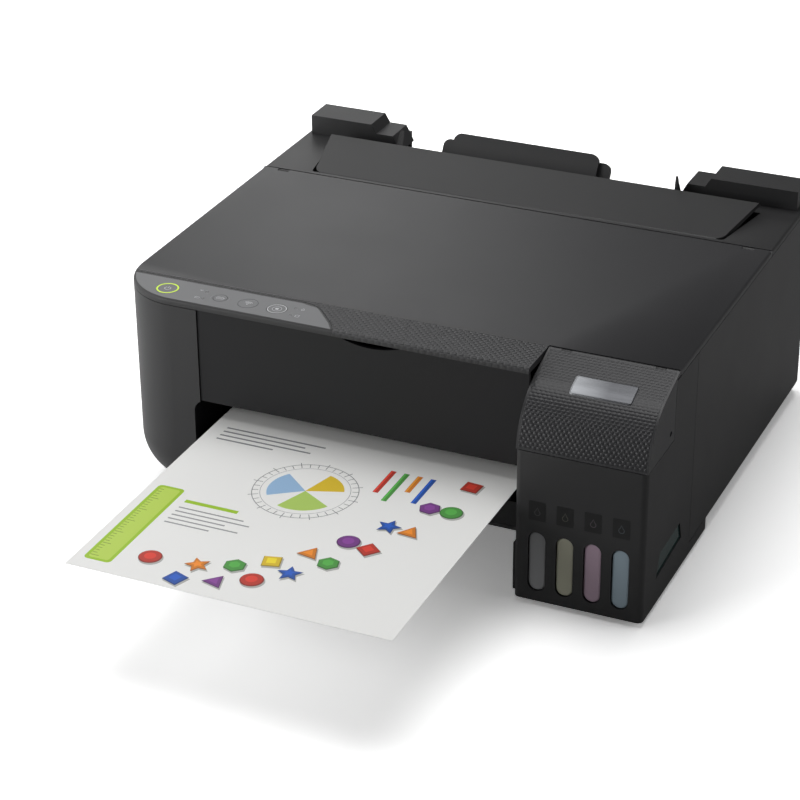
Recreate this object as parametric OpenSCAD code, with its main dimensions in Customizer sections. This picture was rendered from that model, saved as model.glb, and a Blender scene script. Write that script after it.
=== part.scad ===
// Single-function inkjet printer with a refillable ink tank unit at the right front.
// Frame: X to the printer's right, Y to the back, Z up. The origin is on the table,
// under the middle of the printer's footprint. Units are millimetres.

/* [Case] */
// Overall width of the printer
body_w = 375; // [360:1:450]
// Depth of the main case, without the projecting tank unit
body_d = 325.5; // [310:0.5:400]
// Height of the flat top above the table
top_z = 152; // [150:1:185]
// Wall thickness of the case
wall = 2.5; // [2:0.1:3]
// Thickness of the top cover and the decks level with it
deck_t = 4; // [3.5:0.1:5]
// Radius of the upright corner at the front left
corner_r = 44; // [40:1:52]
// Radius of the curve that tucks the lower case under
curve_r = 36; // [30:1:38]
// Height of the case's underside above the table
base_z = 6; // [5:0.5:8]
// Radius of the upright corners at the back
back_r = 12; // [8:1:16]
// Gap at the seams between outer covers
seam = 0.4; // [0.3:0.05:0.6]
// Width of the closed column at the front left
column_w = 63; // [56:1:66]

/* [Front opening] */
// Height of the front panel's lower edge
panel_z = 83; // [80:1:90]
// Height of the sill under the paper outlet
sill_z = 38; // [36:1:40]
// Radius of the outlet's upper left corner
outlet_r = 8; // [4:1:10]

/* [Ink tank unit] */
// Width of the tank unit
tank_w = 84.5; // [82:0.5:96]
// How far the tank unit stands out from the case's front
tank_out = 21.5; // [16:0.5:26]
// Depth of the tank unit's side cover
tank_d = 90.5; // [84:0.5:96]
// Height of the tank unit's underside
tank_z = 3.5; // [3:0.5:5]
// Height of the tank cover's lower edge
lid_z = 108; // [100:1:116]
// Depth of the tank cover, front to back
lid_d = 55.5; // [50:0.5:60]
// Radius of the tank cover's front roll
lid_r = 42; // [36:1:44]
// Width of each ink window
window_w = 11.5; // [9:0.5:14]
// Distance between ink windows
window_pitch = 18.1; // [17:0.1:20]
// Height of the ink windows' lower end
window_z = 10.5; // [8:0.5:14]
// Length of the ink windows
window_l = 42; // [34:0.5:50]

/* [Paper] */
// Sheet width
sheet_w = 210; // [148:1:216]
// Sheet length
sheet_l = 297; // [210:1:297]
// Sheet thickness
sheet_t = 0.25; // [0.2:0.05:0.4]
// Height of the sheet's underside
sheet_z = 72; // [70:0.5:74]
// How far the sheet stands out of the front
sheet_out = 194; // [60:1:194]

/* [Drive] */
// Radius of the feed and exit rollers
roller_r = 6; // [5:0.5:7]
// Gear module
gear_m = 1; // [0.8:0.1:1]
// Teeth on the feed gear and the exit gear
feed_teeth = 36; // [34:2:38]
// Teeth on the idler gear
idler_teeth = 58; // [54:2:60]
// Teeth on the motor pinion
pinion_teeth = 15; // [15:1:15]
// Width of the gears
gear_w = 8; // [6:0.5:9]
// Radius of the carriage guide rail
rail_r = 4; // [3:0.5:5]
// Pitch radius of the belt pulleys
pulley_r = 6; // [5:0.5:7]
// Width of the drive belt
belt_w = 6; // [4:0.5:6]
// Width of the print carriage
carriage_w = 70; // [56:1:74]

/* [Rear feeder] */
// Lean of the paper support from upright, in degrees
lean = 31; // [26:1:34]
// Width of the feeder guard at its front edge
guard_w = 305; // [290:1:310]
// Depth of the feeder guard
guard_d = 53; // [46:1:56]
// Width of the paper support
support_w = 128; // [110:1:140]

/* [Hidden] */
$fn = 48;
EPS = 0.01;
gap = 0.3; // clearance between pieces that move
run = 0.05; // radial clearance of a shaft in its bore

x_l = -body_w / 2;
x_r = body_w / 2;
y_tank = -(body_d + tank_out) / 2;
y_front = y_tank + tank_out;
y_rear = y_front + body_d;
deck_z = top_z - deck_t;
curve_z = base_z + curve_r;

// Ink tank unit
x_t = x_r - tank_w;
tank_back = y_tank + tank_d;
lid_back = y_tank + lid_d;
tank_left_x = x_t + (tank_w - 3 * window_pitch) / 2;
lid_pin_r = 0.7;
lid_barrel_r = 1.6;
lid_axis_y = lid_back - lid_barrel_r;
lid_axis_z = top_z - lid_barrel_r;

// Cover seam and hinge
cover_back = 72;
cover_barrel_r = deck_t / 2;
cover_axis_y = cover_back - cover_barrel_r;
cover_axis_z = top_z - cover_barrel_r;
cover_opening = 55; // degrees

// Front
column_x = x_l + column_w;
chin_back = y_front + 54; // where the slanted chin under the outlet meets the floor
outlet_x0 = column_x - 4.5;
outlet_x1 = x_t - seam;
panel_y = y_front + 1;

// Sheet and rollers
sheet_x1 = x_t - 4;
sheet_x0 = sheet_x1 - sheet_w;
sheet_y0 = y_front - sheet_out;
roller_z = sheet_z - 0.25 - roller_r;
feed_r_pitch = feed_teeth * gear_m / 2;
idler_r_pitch = idler_teeth * gear_m / 2;
pinion_r_pitch = pinion_teeth * gear_m / 2;
exit_y = y_front + 48;
idler_y = exit_y + feed_r_pitch + idler_r_pitch;
feed_y = idler_y + idler_r_pitch + feed_r_pitch;
pinion_z = roller_z - feed_r_pitch - pinion_r_pitch;
star_r = 5;
star_z = sheet_z + sheet_t + gap + star_r;
pinch_r = 3.5;
pinch_z = sheet_z + sheet_t + gap + pinch_r;
shaft_r = 3;

// Frame and carriage
plate_t = 1.5;
plate_l = outlet_x0 - 19;
plate_r = x_t - 3;
gear_x = plate_l - 2 - gear_w;
rail_y = feed_y + 8;
rail_z = sheet_z + 34;
rail_x0 = x_l + 11;
rail_x1 = x_r - 11;
belt_z = rail_z + 12;
belt_y = rail_y + rail_r + 3;
belt_t = 1.2;
frame_y = belt_y + belt_w + 3;
pulley_x0 = x_l + 22;
pulley_x1 = x_r - 22;
carriage_x = x_r - 12.5 - carriage_w;
carriage_y0 = exit_y + 22;
carriage_y1 = feed_y - 4;
nozzle_z = sheet_z + sheet_t + 1.5;
cap_x0 = carriage_x + 14;
cap_x1 = carriage_x + carriage_w - 14;
cap_y0 = carriage_y0 + 16;
cap_y1 = carriage_y1 - 12;

// Tubes and flat cable between the frame and the carriage
tube_r = 1.5;
lane = 4;
bundle_y0 = carriage_y0 + 10;
bundle_z = belt_z + 18.5;
loop_r = 6;
guide_x = 54;
loop_x = -25;

// Rear feeder
guard_front = cover_back + 3;
guard_rise = 8;
guard_pin_l = 3;
guard_barrel_r = 2;
guard_axis_y = guard_front + guard_barrel_r + 0.1;
guard_axis_z = top_z - guard_barrel_r;
pin_r = 0.85;
ramp_y = 140;
ramp_z = top_z;
feeder_l = sheet_x0 - 7;
feeder_r = sheet_x1 + 5;
pickup_r = 14;
pickup_y = 90;
pickup_z = top_z - 54;
feeder_back_z = top_z - 19; // low back edge of the feeder, between its shoulders
ramp_l = (ramp_z - sheet_z - 4.5) / cos(lean); // down to just above the lower guide
support_x = (sheet_x0 + sheet_x1) / 2 - 13.5;
support_top = 13;
extension_top = 17.8;
extension_w = support_w - 17;

// Output tray
tray_z = 45;
tray_l = 112;
tray_rails = [outlet_x0 + 8, outlet_x1 - 20];

// Tank unit's plinth and skid
plinth_w = 3.5;
skid_l = 35;
skid_z = 12;

// Back wall
inlet_x = x_l + 51;
socket_x = x_l + 23;

// Control panel
panel_d = 30;
button_y = y_front + 14.5;
power_x = x_l + 35.3;
text_x = x_l + 73.3;
wifi_x = x_l + 93.1;
stop_x = x_l + 113.6;
button_travel = 0.8;

// ---------- helpers ----------

// A box from one corner to the other
module block(a, b) translate(a) cube(b - a);

// A shape drawn in Y and Z, carried along X
module along_x(x0, x1) translate([x0, 0, 0]) rotate([90, 0, 90]) linear_extrude(x1 - x0) children();

// A shape drawn in X and Z, carried along Y
module along_y(y0, y1) translate([0, y1, 0]) rotate([90, 0, 0]) linear_extrude(y1 - y0) children();

// A shape drawn in X and Y, carried up Z
module up_z(z0, z1) translate([0, 0, z0]) linear_extrude(z1 - z0) children();

// A round bar along X, Y or Z
module bar_x(x0, x1, y, z, r) translate([x0, y, z]) rotate([0, 90, 0]) cylinder(r = r, h = x1 - x0);
module bar_y(y0, y1, x, z, r) translate([x, y1, z]) rotate([90, 0, 0]) cylinder(r = r, h = y1 - y0);
module bar_z(z0, z1, x, y, r) translate([x, y, z0]) cylinder(r = r, h = z1 - z0);

// A rectangle with true round corners
module round_rect(a, b, r) {
  translate([a.x + r, a.y]) square([b.x - a.x - 2 * r, b.y - a.y]);
  translate([a.x, a.y + r]) square([b.x - a.x, b.y - a.y - 2 * r]);
  for (x = [a.x + r, b.x - r], y = [a.y + r, b.y - r]) translate([x, y]) circle(r);
}

// A slot with round ends, upright
module slot_2d(w, l) {
  translate([-w / 2, w / 2]) square([w, l - w]);
  for (y = [w / 2, l - w / 2]) translate([0, y]) circle(d = w);
}

// ---------- gears ----------

function inv(a) = tan(a) - a * PI / 180;
// Half of a tooth's angle at radius p, for an involute with 20 degrees of pressure angle
function half_tooth(teeth, r, p) =
  let (rb = r * cos(20), a = acos(min(1, rb / max(p, rb))))
  90 / teeth - 0.12 / r * 180 / PI + (inv(20) - inv(a)) * 180 / PI;

module gear_2d(teeth) {
  r = teeth * gear_m / 2;
  root = r - 1.25 * gear_m;
  radii = [root, max(root + 0.4, r * cos(20) + 0.1), r, r + gear_m];
  left = [for (p = radii) [p, -half_tooth(teeth, r, p)]];
  right = [for (i = [3:-1:0]) [left[i][0], -left[i][1]]];
  polygon([for (i = [0:teeth - 1], q = concat(left, right))
    let (a = i * 360 / teeth + q[1]) q[0] * [cos(a), sin(a)]]);
}

// A gear on an axis along X, with a hub, a bored centre and lightening holes
module gear_x(x0, y, z, teeth, turn, bore, holes = 0) {
  translate([x0, y, z]) rotate([90, 0, 90]) difference() {
    linear_extrude(gear_w) difference() {
      rotate(turn) gear_2d(teeth);
      circle(bore);
      if (holes > 0) for (i = [0:holes - 1])
        rotate(i * 360 / holes) translate([teeth * gear_m * 0.3, 0]) circle(teeth * gear_m * 0.1);
    }
    // the web is thinner than the rim
    for (h = [-1, gear_w - 2]) translate([0, 0, h]) linear_extrude(3) difference() {
      circle(teeth * gear_m / 2 - 4 * gear_m);
      circle(bore + 2.5);
    }
  }
}

// ---------- case ----------

// Section of the case's side: upright above, tucked under below. The corner's centre is at 0.
module side_section(inset, z1) {
  translate([0, curve_z]) square([corner_r - inset, z1 - curve_z]);
  translate([0, base_z + inset]) square([corner_r - curve_r, curve_r - inset]);
  intersection() {
    translate([corner_r - curve_r, curve_z]) circle(curve_r - inset, $fn = 96);
    translate([corner_r - curve_r, base_z]) square([curve_r, curve_r]);
  }
}

// The solid that the case is hollowed from
module case_solid(inset, z1) {
  cx = x_l + corner_r;
  cy = y_front + corner_r;
  back = y_rear - inset;
  translate([cx, cy, 0]) rotate([0, 0, 180]) rotate_extrude(angle = 90, $fn = 96) side_section(inset, z1);
  // left side
  difference() {
    translate([0, cy, 0]) mirror([0, 1, 0]) along_y(cy - back, 0)
      translate([cx, 0]) mirror([1, 0]) side_section(inset, z1);
    up_z(0, z1 + 1) back_corner(x_l + inset, back, back_r - inset);
  }
  // front
  along_x(cx, x_r - inset) translate([cy, 0]) mirror([1, 0]) side_section(inset, z1);
  difference() {
    block([cx, cy, base_z + inset], [x_r - inset, back, z1]);
    up_z(0, z1 + 1) mirror([1, 0]) back_corner(-x_r + inset, back, back_r - inset);
  }
}

// What is cut from a square corner at the back left to leave it round
module back_corner(x, y, r) difference() {
  translate([x - 1, y - r]) square([r + 1, r + 1]);
  translate([x + r, y - r]) circle(r);
}

// The clear opening at the front: panel bay above, paper outlet below
module front_cut() {
  block([column_x, y_front - 1, panel_z - 2], [x_t + 1, y_front + wall + 1, deck_z + 1]);
  block([outlet_x0, y_front - 1, -1], [x_t + 1, chin_back, sill_z + 6]);
  along_y(y_front - 1, y_front + curve_r + 6) union() {
    round_rect([outlet_x0, sill_z], [x_t + 40, panel_z], outlet_r);
    translate([outlet_x0, sill_z - 1]) square([x_t - outlet_x0, outlet_r + 2]);
  }
}

// Slanted wall under the outlet, with the ribs that carry the tray's front
module chin() {
  slope = (sill_z - 1.5 - base_z) / (chin_back - 2 - y_front - 1);
  lift = wall * sqrt(1 + slope * slope);
  along_x(outlet_x0 - EPS, x_t - seam - plinth_w - seam) polygon([
    [y_front + 1, sill_z - 1.5], [y_front + 1, sill_z + 1], [y_front + 1 + wall, sill_z + 1],
    [y_front + 1 + wall, sill_z - 1.5 - wall * slope + lift], [chin_back - 2, base_z + lift],
    [chin_back + 8, base_z + lift], [chin_back + 8, base_z], [chin_back - 2, base_z]]);
  for (x = tray_rails) along_x(x, x + 3) polygon([
    [y_front + 5, sill_z - 1], [y_front + 5, tray_z - gap], [chin_back + 8, tray_z - gap],
    [chin_back + 8, base_z + 1], [chin_back - 2, base_z + 1]]);
}

// Wall that closes the column beside the outlet
module column_wall() intersection() {
  case_solid(0, deck_z - seam);
  union() {
    block([outlet_x0 - wall, y_front - 1, 0], [outlet_x0, chin_back + 8, tray_z]);
    block([outlet_x0 - wall, y_front - 1, 0], [outlet_x0, exit_y - 10, deck_z - 18]);
  }
}

module outer_case() color("#2b2b2d") {
  difference() {
    union() {
      difference() {
        case_solid(0, deck_z - seam);
        case_solid(wall, top_z);
        // open underneath, where the base closes it
        block([x_l + curve_r, y_front + curve_r, -1], [x_r - wall, y_rear - wall, base_z + wall + 1]);
        front_cut();
      }
      column_wall();
      chin();
    }
    // bay of the tank unit
    block([x_t - seam, y_tank - 1, -1], [x_r + 1, tank_back + seam, top_z]);
    // step over the tank unit's skid
    block([x_t - seam, y_tank, -1], [x_r + 1, tank_back + skid_l + seam, skid_z + seam]);
    // raised lower edge of the right side
    block([x_r - wall - 1, tank_back, -1], [x_r + 1, y_rear + 1, skid_z]);
    // low back edge behind the paper
    block([feeder_l, y_rear - wall - 1, feeder_back_z], [feeder_r, y_rear + 1, top_z]);
    // inlet and socket windows in the back wall
    block([inlet_x - 11, y_rear - wall - 1, 62], [inlet_x + 11, y_rear + 1, 80]);
    block([socket_x - 6.5, y_rear - wall - 1, 64], [socket_x + 6.5, y_rear + 1, 76]);
    // vents in the back wall and the left side
    for (i = [0:7]) along_y(y_rear - wall - 1, y_rear + 1)
      translate([x_r - 90 + i * 8, 60]) slot_2d(3, 26);
    for (i = [0:9]) along_x(x_l - 1, x_l + wall + 1)
      translate([y_rear - 110 + i * 7, 70]) slot_2d(2.6, 30);
    // grip recess low on the left side
    along_x(x_l - 1, x_l + wall + 1) round_rect([-50, 46], [20, 58], 3);
  }
  // inner pocket of the grip
  difference() {
    block([x_l + wall - EPS, -53, 43], [x_l + 14, 23, 61]);
    block([x_l, -50, 46], [x_l + 12, 20, 58]);
  }
  // ribs that stiffen the sides
  for (y = [y_front + 60, y_rear - 14])
    block([x_l + wall - EPS, y, curve_z + 20], [x_l + wall + 4, y + 2, deck_z - 4]);
}

module base_case() color("#242426") difference() {
  y0 = y_front + curve_r + gap;
  union() {
    block([x_l + curve_r + gap, y0, base_z], [x_r - wall - gap, y_rear - wall - gap, base_z + 3]);
    // rim that stiffens the floor
    difference() {
      block([x_l + curve_r + 4, y0 + 4, base_z], [x_r - wall - 4, y_rear - wall - 4, base_z + 12]);
      block([x_l + curve_r + 6, y0 + 6, base_z], [x_r - wall - 6, y_rear - wall - 6, base_z + 13]);
      block([plate_l - 12, y0, base_z + 3], [plate_l + 26, frame_y + 4, base_z + 13]);
    }
    // rails that the output tray runs on
    for (x = tray_rails) block([x, chin_back + 9, base_z], [x + 3, feed_y - 14, tray_z - gap]);
    // crossways ribs
    for (y = [20, 150]) block([x_l + curve_r + 5, y, base_z], [x_r - wall - 5, y + 2, base_z + 9]);
    // guides of the capping unit
    for (x = [cap_x0 - gap - 3, cap_x1 + gap])
      block([x, cap_y0 + 14, base_z], [x + 3, cap_y1 - 8, sheet_z - 12]);
    // screw bosses
    for (p = screws) bar_z(base_z, base_z + 9, p.x, p.y, 3.4);
  }
  // the slanted chin's place
  block([outlet_x0 - wall - gap, y_front, -1], [x_t, chin_back + 8 + gap, base_z + 13]);
  // the tank unit's place, and the step over its skid
  block([x_t - seam, y_tank, -1], [x_r + 1, tank_back + gap, base_z + 13]);
  block([x_t - seam, y_tank, -1], [x_r + 1, tank_back + skid_l + seam, skid_z + seam]);
  // seats of the feet
  for (p = feet) bar_z(base_z - 1, base_z + 1, p.x, p.y, 8);
  for (p = screws) bar_z(base_z - 1, base_z + 8, p.x, p.y, 1.5 + run);
}

feet = [[x_l + 47, y_front + 52], [x_l + 50, y_rear - 22], [x_r - 22, y_rear - 22]];
screws = [[x_l + 60, y_front + 72], [x_l + 60, y_rear - 42], [0, y_rear - 16], [x_r - 44, y_rear - 16],
          [x_r - 60, 0]];
tank_feet = [[x_t + 16, y_tank + 16], [x_r - 16, y_tank + 16]];

module rubber_feet() color("#1a1a1a") {
  for (p = feet) {
    bar_z(0, base_z + 1, p.x, p.y, 7.8);
  }
  for (p = tank_feet) bar_z(0, tank_z, p.x, p.y, 6);
}

// ---------- front ----------

module front_panel() color("#232325") difference() {
  union() {
    block([column_x + seam, panel_y, panel_z], [x_t - seam, panel_y + wall, deck_z - seam]);
    // turned-in lower edge and stiffening ribs
    block([column_x + seam, panel_y + wall - EPS, panel_z], [x_t - seam, panel_y + 9, panel_z + 2]);
    for (x = [column_x + 20:40:x_t - 20])
      block([x, panel_y + wall - EPS, panel_z], [x + 1.6, panel_y + 8, deck_z - 12]);
  }
  // scoop for the fingers that lift the cover
  along_y(panel_y - 1, panel_y + wall + 1)
    translate([column_x + 121.5, deck_z + 56]) circle(60, $fn = 128);
}

// Outline of the deck that holds the buttons, in plan
module deck_outline(inset) {
  difference() {
    union() {
      translate([x_l + corner_r, y_front + corner_r]) circle(corner_r - inset, $fn = 96);
      translate([x_l + corner_r, y_front + inset]) square([40, corner_r]);
      translate([x_l + inset, y_front + corner_r]) square([corner_r, 1]);
    }
    translate([x_l - 1, y_front + panel_d - inset]) square([body_w, body_d]);
    translate([x_l + corner_r + 38, y_front - 1]) square([body_w, panel_d + 2]);
  }
  overlay_nose(-inset, y_front + inset);
}

overlay_x1 = x_l + 131.5; // where the straight rear edge of the deck starts to turn
// The right end of the deck, whose rear edge turns to the front in an S
module overlay_nose(grow, front) polygon([
  [x_l + corner_r + 38, front], [overlay_x1 + 27 + grow, front],
  [overlay_x1 + 25.5 + grow, y_front + 4], [overlay_x1 + 22.5 + grow, y_front + 8.5],
  [overlay_x1 + 18.5 + grow, y_front + 13], [overlay_x1 + 14 + grow, y_front + 18],
  [overlay_x1 + 9.5 + grow, y_front + 23], [overlay_x1 + 6 + grow, y_front + 26],
  [overlay_x1 + 1 + grow, y_front + panel_d - 1.5 + grow], [overlay_x1 - 6, y_front + panel_d + grow],
  [x_l + corner_r + 38, y_front + panel_d + grow]]);

// Plan outline of the whole top in front of the hinge
module top_outline() difference() {
  union() {
    translate([x_l + corner_r, y_front + corner_r]) circle(corner_r, $fn = 96);
    translate([x_l + corner_r, y_front]) square([body_w - corner_r, cover_back - y_front - cover_barrel_r]);
    translate([x_l, y_front + corner_r]) square([corner_r + 1, cover_axis_y - y_front - corner_r]);
  }
  // the tank cover's place
  translate([x_t - seam, y_tank - 1]) square([tank_w + 2, lid_d + seam + 1]);
}

module control_deck() color("#2b2b2d") difference() {
  up_z(deck_z, top_z) deck_outline(0);
  up_z(top_z - 0.6, top_z + 1) deck_outline_film(0);
  for (b = buttons) bar_z(deck_z - 1, top_z + 1, b.x, button_y, b.y + gap);
  for (p = lenses) bar_z(deck_z - 1, top_z + 1, p.x, p.y, 1.2);
  edge_cut();
}

// Bed of the printed film, set in from the deck's edge
module deck_outline_film(extra) intersection() {
  deck_outline(1.6 + extra);
  translate([x_l + 3.5 + extra, y_front]) square([body_w, body_d]);
}

buttons = [[power_x, 7.3], [text_x, 4.6], [wifi_x, 6.3], [stop_x, 6.5]];
lenses = [[x_l + 61.2, y_front + 19.4], [x_l + 63.4, y_front + 9.8],
          [x_l + 124.3, y_front + 19.9], [x_l + 125.3, y_front + 10.1]];

module control_overlay() color("#7d7d80") difference() {
  up_z(top_z - 0.6, top_z) deck_outline_film(0.1);
  for (b = buttons) bar_z(deck_z, top_z + 1, b.x, button_y, b.y + gap);
  for (p = lenses) bar_z(deck_z, top_z + 1, p.x, p.y, 1.2);
}

module indicator_lenses() color("#3a3c40")
  for (p = lenses) {
    bar_z(deck_z - 4, top_z, p.x, p.y, 1.1);
    bar_z(deck_z - 4.01, deck_z - 2, p.x, p.y, 1.8);
  }

module button(b) color("#77777a") {
  bar_z(top_z - 1.6, top_z, b.x, button_y, b.y);
  bar_z(deck_z - 2, top_z - 1.5, b.x, button_y, b.y - 1);
  bar_z(deck_z - 2, deck_z - gap, b.x, button_y, b.y + 1.2);
}

module power_button() button(buttons[0]);
module info_button() button(buttons[1]);
module wifi_button() button(buttons[2]);
module stop_button() button(buttons[3]);

module control_board() {
  color("#1f5b34") block([x_l + 31.5, y_front + wall + 2.5, deck_z - 9],
                         [overlay_x1, y_front + panel_d - 2, deck_z - 7.4]);
  color("#333333") for (b = buttons)
    bar_z(deck_z - 7.41, deck_z - 2.5 - button_travel, b.x, button_y, 2.6);
  color("#333333") for (p = lenses) bar_z(deck_z - 7.41, deck_z - 4.3, p.x, p.y, 1.6);
  // posts that hold the board under the deck
  color("#2b2b2d") for (x = [x_l + 52, x_l + 104]) bar_z(deck_z - 7.41, deck_z, x, y_front + 24, 2);
}

// ---------- top cover ----------

hinge_x = [x_l + 16, x_r - 16];
knuckle_w = 8;

module printer_cover() color("#3a3a3c") {
  difference() {
    union() {
      difference() {
        up_z(deck_z, top_z) top_outline();
        // the button deck's place
        up_z(deck_z - 1, top_z + 1) {
          translate([x_l - 1, y_front - 1]) square([corner_r + 40, panel_d + 1 + seam]);
          overlay_nose(seam, y_front - 1);
        }
        edge_cut();
      }
      bar_x(x_l, x_r, cover_axis_y, cover_axis_z, cover_barrel_r);
      cover_ribs();
    }
    for (x = hinge_x)
      block([x - knuckle_w / 2 - gap, cover_axis_y - cover_barrel_r - 1.2, deck_z - 1],
            [x + knuckle_w / 2 + gap, cover_back + 1, top_z + 1]);
  }
  // pins that turn in the deck's knuckles
  for (x = hinge_x)
    bar_x(x - knuckle_w / 2 - gap - 1, x + knuckle_w / 2 + gap + 1, cover_axis_y, cover_axis_z, pin_r);
}

// What rounds the top edge of the covers, along the left side, the corner, the front and the right side
edge_r = 1.6;
module edge_section() polygon([
  [EPS, -edge_r], [-0.22 * edge_r, -0.42 * edge_r], [-0.5 * edge_r, -0.14 * edge_r], [-edge_r, EPS],
  [-edge_r, 1], [1, 1], [1, -edge_r]]);
module edge_cut() {
  translate([x_l + corner_r, y_front + corner_r, top_z]) rotate([0, 0, 180])
    rotate_extrude(angle = 90, $fn = 96) translate([corner_r, 0]) edge_section();
  along_x(x_l + corner_r, x_r + 1) translate([y_front, top_z]) mirror([1, 0]) edge_section();
  along_y(y_front + corner_r, y_rear + 1) translate([x_l, top_z]) mirror([1, 0]) edge_section();
  along_y(lid_back - 1, y_rear + 1) translate([x_r, top_z]) edge_section();
}

module cover_ribs() {
  y0 = y_front + panel_d + 6;
  y1 = cover_axis_y - 8;
  for (x = [x_l + 12, x_r - 14]) block([x, x > 0 ? lid_back + 8 : y0, deck_z - 5], [x + 2, y1, deck_z + EPS]);
  for (y = [y0 + 20, (y0 + y1) / 2, y1]) block([x_l + 12, y, deck_z - 4], [x_r - 12, y + 1.6, deck_z + EPS]);
  for (i = [1:5]) translate([x_l + 12 + i * (body_w - 26) / 6, 0, 0])
    block([0, y0 + 20, deck_z - 4], [1.6, y1, deck_z + EPS]);
}

// ---------- rear feeder ----------

// Sets children on the paper's way in: local Z runs up the support, local Y points back
module on_ramp() translate([0, ramp_y, ramp_z]) rotate([-lean, 0, 0]) children();

module rear_feeder() color("#2b2b2d") difference() {
  union() {
    // deck behind the cover
    difference() {
      union() {
        up_z(deck_z, top_z) difference() {
          translate([x_l, cover_back + seam]) square([body_w, y_rear - cover_back - seam]);
          back_corner(x_l, y_rear, back_r);
          mirror([1, 0]) back_corner(-x_r, y_rear, back_r);
        }
        along_x(x_l, x_r) deck_lip();
      }
      // the guard's place, with less round corners, which its nose turns in
      up_z(deck_z - 1, top_z + 1) guard_outline(seam, 3.5);
      block([feeder_l, guard_front + 10, deck_z - 1], [feeder_r, y_rear + 1, top_z + 1]);
      edge_cut();
    }
    // knuckles of the cover's hinge
    for (x = hinge_x) {
      bar_x(x - knuckle_w / 2, x + knuckle_w / 2, cover_axis_y, cover_axis_z, cover_barrel_r - 0.2);
      block([x - knuckle_w / 2, cover_axis_y, deck_z], [x + knuckle_w / 2, cover_back + 2, cover_axis_z]);
    }
    // raised shoulders beside the paper
    shoulder(feeder_r, x_r - 3.5);
    mirror([1, 0, 0]) shoulder(-feeder_l, -x_l - 3.5);
    block([feeder_l - 1, y_rear - 11, deck_z - 30], [feeder_r + 1, y_rear - 8, feeder_back_z]);
    // side cheeks that carry the pickup shaft
    for (x = [feeder_l - 3, feeder_r]) cheek(x);
    // ramp behind the support, with the channels that the support slides in
    on_ramp() block([feeder_l - 1, ramp_t0, -ramp_l], [feeder_r + 1, ramp_t0 + 2.5, -4]);
    for (s = [-1, 1]) on_ramp() translate([support_x, 0, 0]) mirror([s > 0 ? 0 : 1, 0, 0]) {
      block([support_w / 2 + gap, 6, -80], [support_w / 2 + 3, ramp_t0 + EPS, -6]);
      block([support_w / 2 - 2.6, 5.6, -80], [support_w / 2 + 3, 8, -6]);
    }
    // strip that the edge guide slides along
    on_ramp() block([feeder_l - 1, 1.3, -50], [feeder_r + 1, 4.3, -22]);
    // lower guide towards the feed roller
    block([feeder_l - 1, feed_y + 12, sheet_z - 5], [plate_r - seam, frame_y + 18, sheet_z - 2.5]);
    block([feeder_l - 1, frame_y + 17, sheet_z - 5], [feeder_r + 1, 98, sheet_z - 2.5]);
    right_fin();
  }
  for (x = hinge_x) bar_x(x - knuckle_w, x + knuckle_w, cover_axis_y, cover_axis_z, pin_r + run);
  // bores for the pins at the guard's ends
  for (s = [-1, 1]) mirror([s > 0 ? 0 : 1, 0, 0])
    bar_x(guard_w / 2 - 6, guard_w / 2 + guard_pin_l + 0.5, guard_axis_y, guard_axis_z, pin_r + run);
  bar_x(feeder_l - 5, feeder_r + 5, pickup_y, pickup_z, shaft_r + run);
}

ramp_t0 = 12; // how far the ramp lies behind the paper's plane

// Lip over the round rear edge of the cover, which the cover clears up to its widest opening
module deck_lip() {
  r = cover_barrel_r + gap;
  polygon(concat(
    [for (a = [0:7:90 - cover_opening]) [cover_axis_y + r * cos(a), cover_axis_z + r * sin(a)]],
    [[cover_axis_y + (r - cover_barrel_r * cos(cover_opening)) / sin(cover_opening), top_z],
     [cover_back + seam + 1, top_z], [cover_back + seam + 1, cover_axis_z]]));
}

module cheek(x) along_x(x, x + 3) polygon([
  [guard_front + 14, deck_z + 1], [frame_y + 16, pickup_z - 8], [frame_y + 16, sheet_z - 5], [104, sheet_z - 5],
  [y_rear - 8, deck_z - 26], [y_rear - 8, deck_z + 1]]);

// The stepped shoulder on one side, whose outline shows above the guard
module shoulder(x0, x1) along_y(y_rear - 33, y_rear - 8) polygon([
  [x0 - 5, deck_z], [x0 + 1, top_z + 7.5], [x0 + 14, top_z + 7.5], [x0 + 18, top_z + 14],
  [x1, top_z + 14], [x1, deck_z]]);

// Fixed guide at the paper's right edge, a fin that stands up behind the guard
module right_fin() along_x(sheet_x1 + 0.6, sheet_x1 + 2.2) polygon([
  [guard_front + guard_d + 1.5, top_z - 8], [guard_front + guard_d + 1, top_z + 7],
  [guard_front + guard_d + 3, top_z + 16], [guard_front + guard_d + 6, top_z + 10],
  [ramp_y + 1, top_z - 1], [ramp_y - 18, top_z - 34], [ramp_y - 26, top_z - 34]]);

// Plan outline of the guard, a little wider at the back
module guard_outline(grow, r) {
  w = guard_w / 2 + grow;
  y0 = guard_front - grow;
  y1 = guard_front + guard_d;
  polygon([[-w + r, y0], [w - r, y0], [w, y0 + r], [w + 9, y1], [-w - 9, y1], [-w, y0 + r]]);
  for (s = [-1, 1]) translate([s * (w - r), y0 + r]) circle(r);
}

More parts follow.
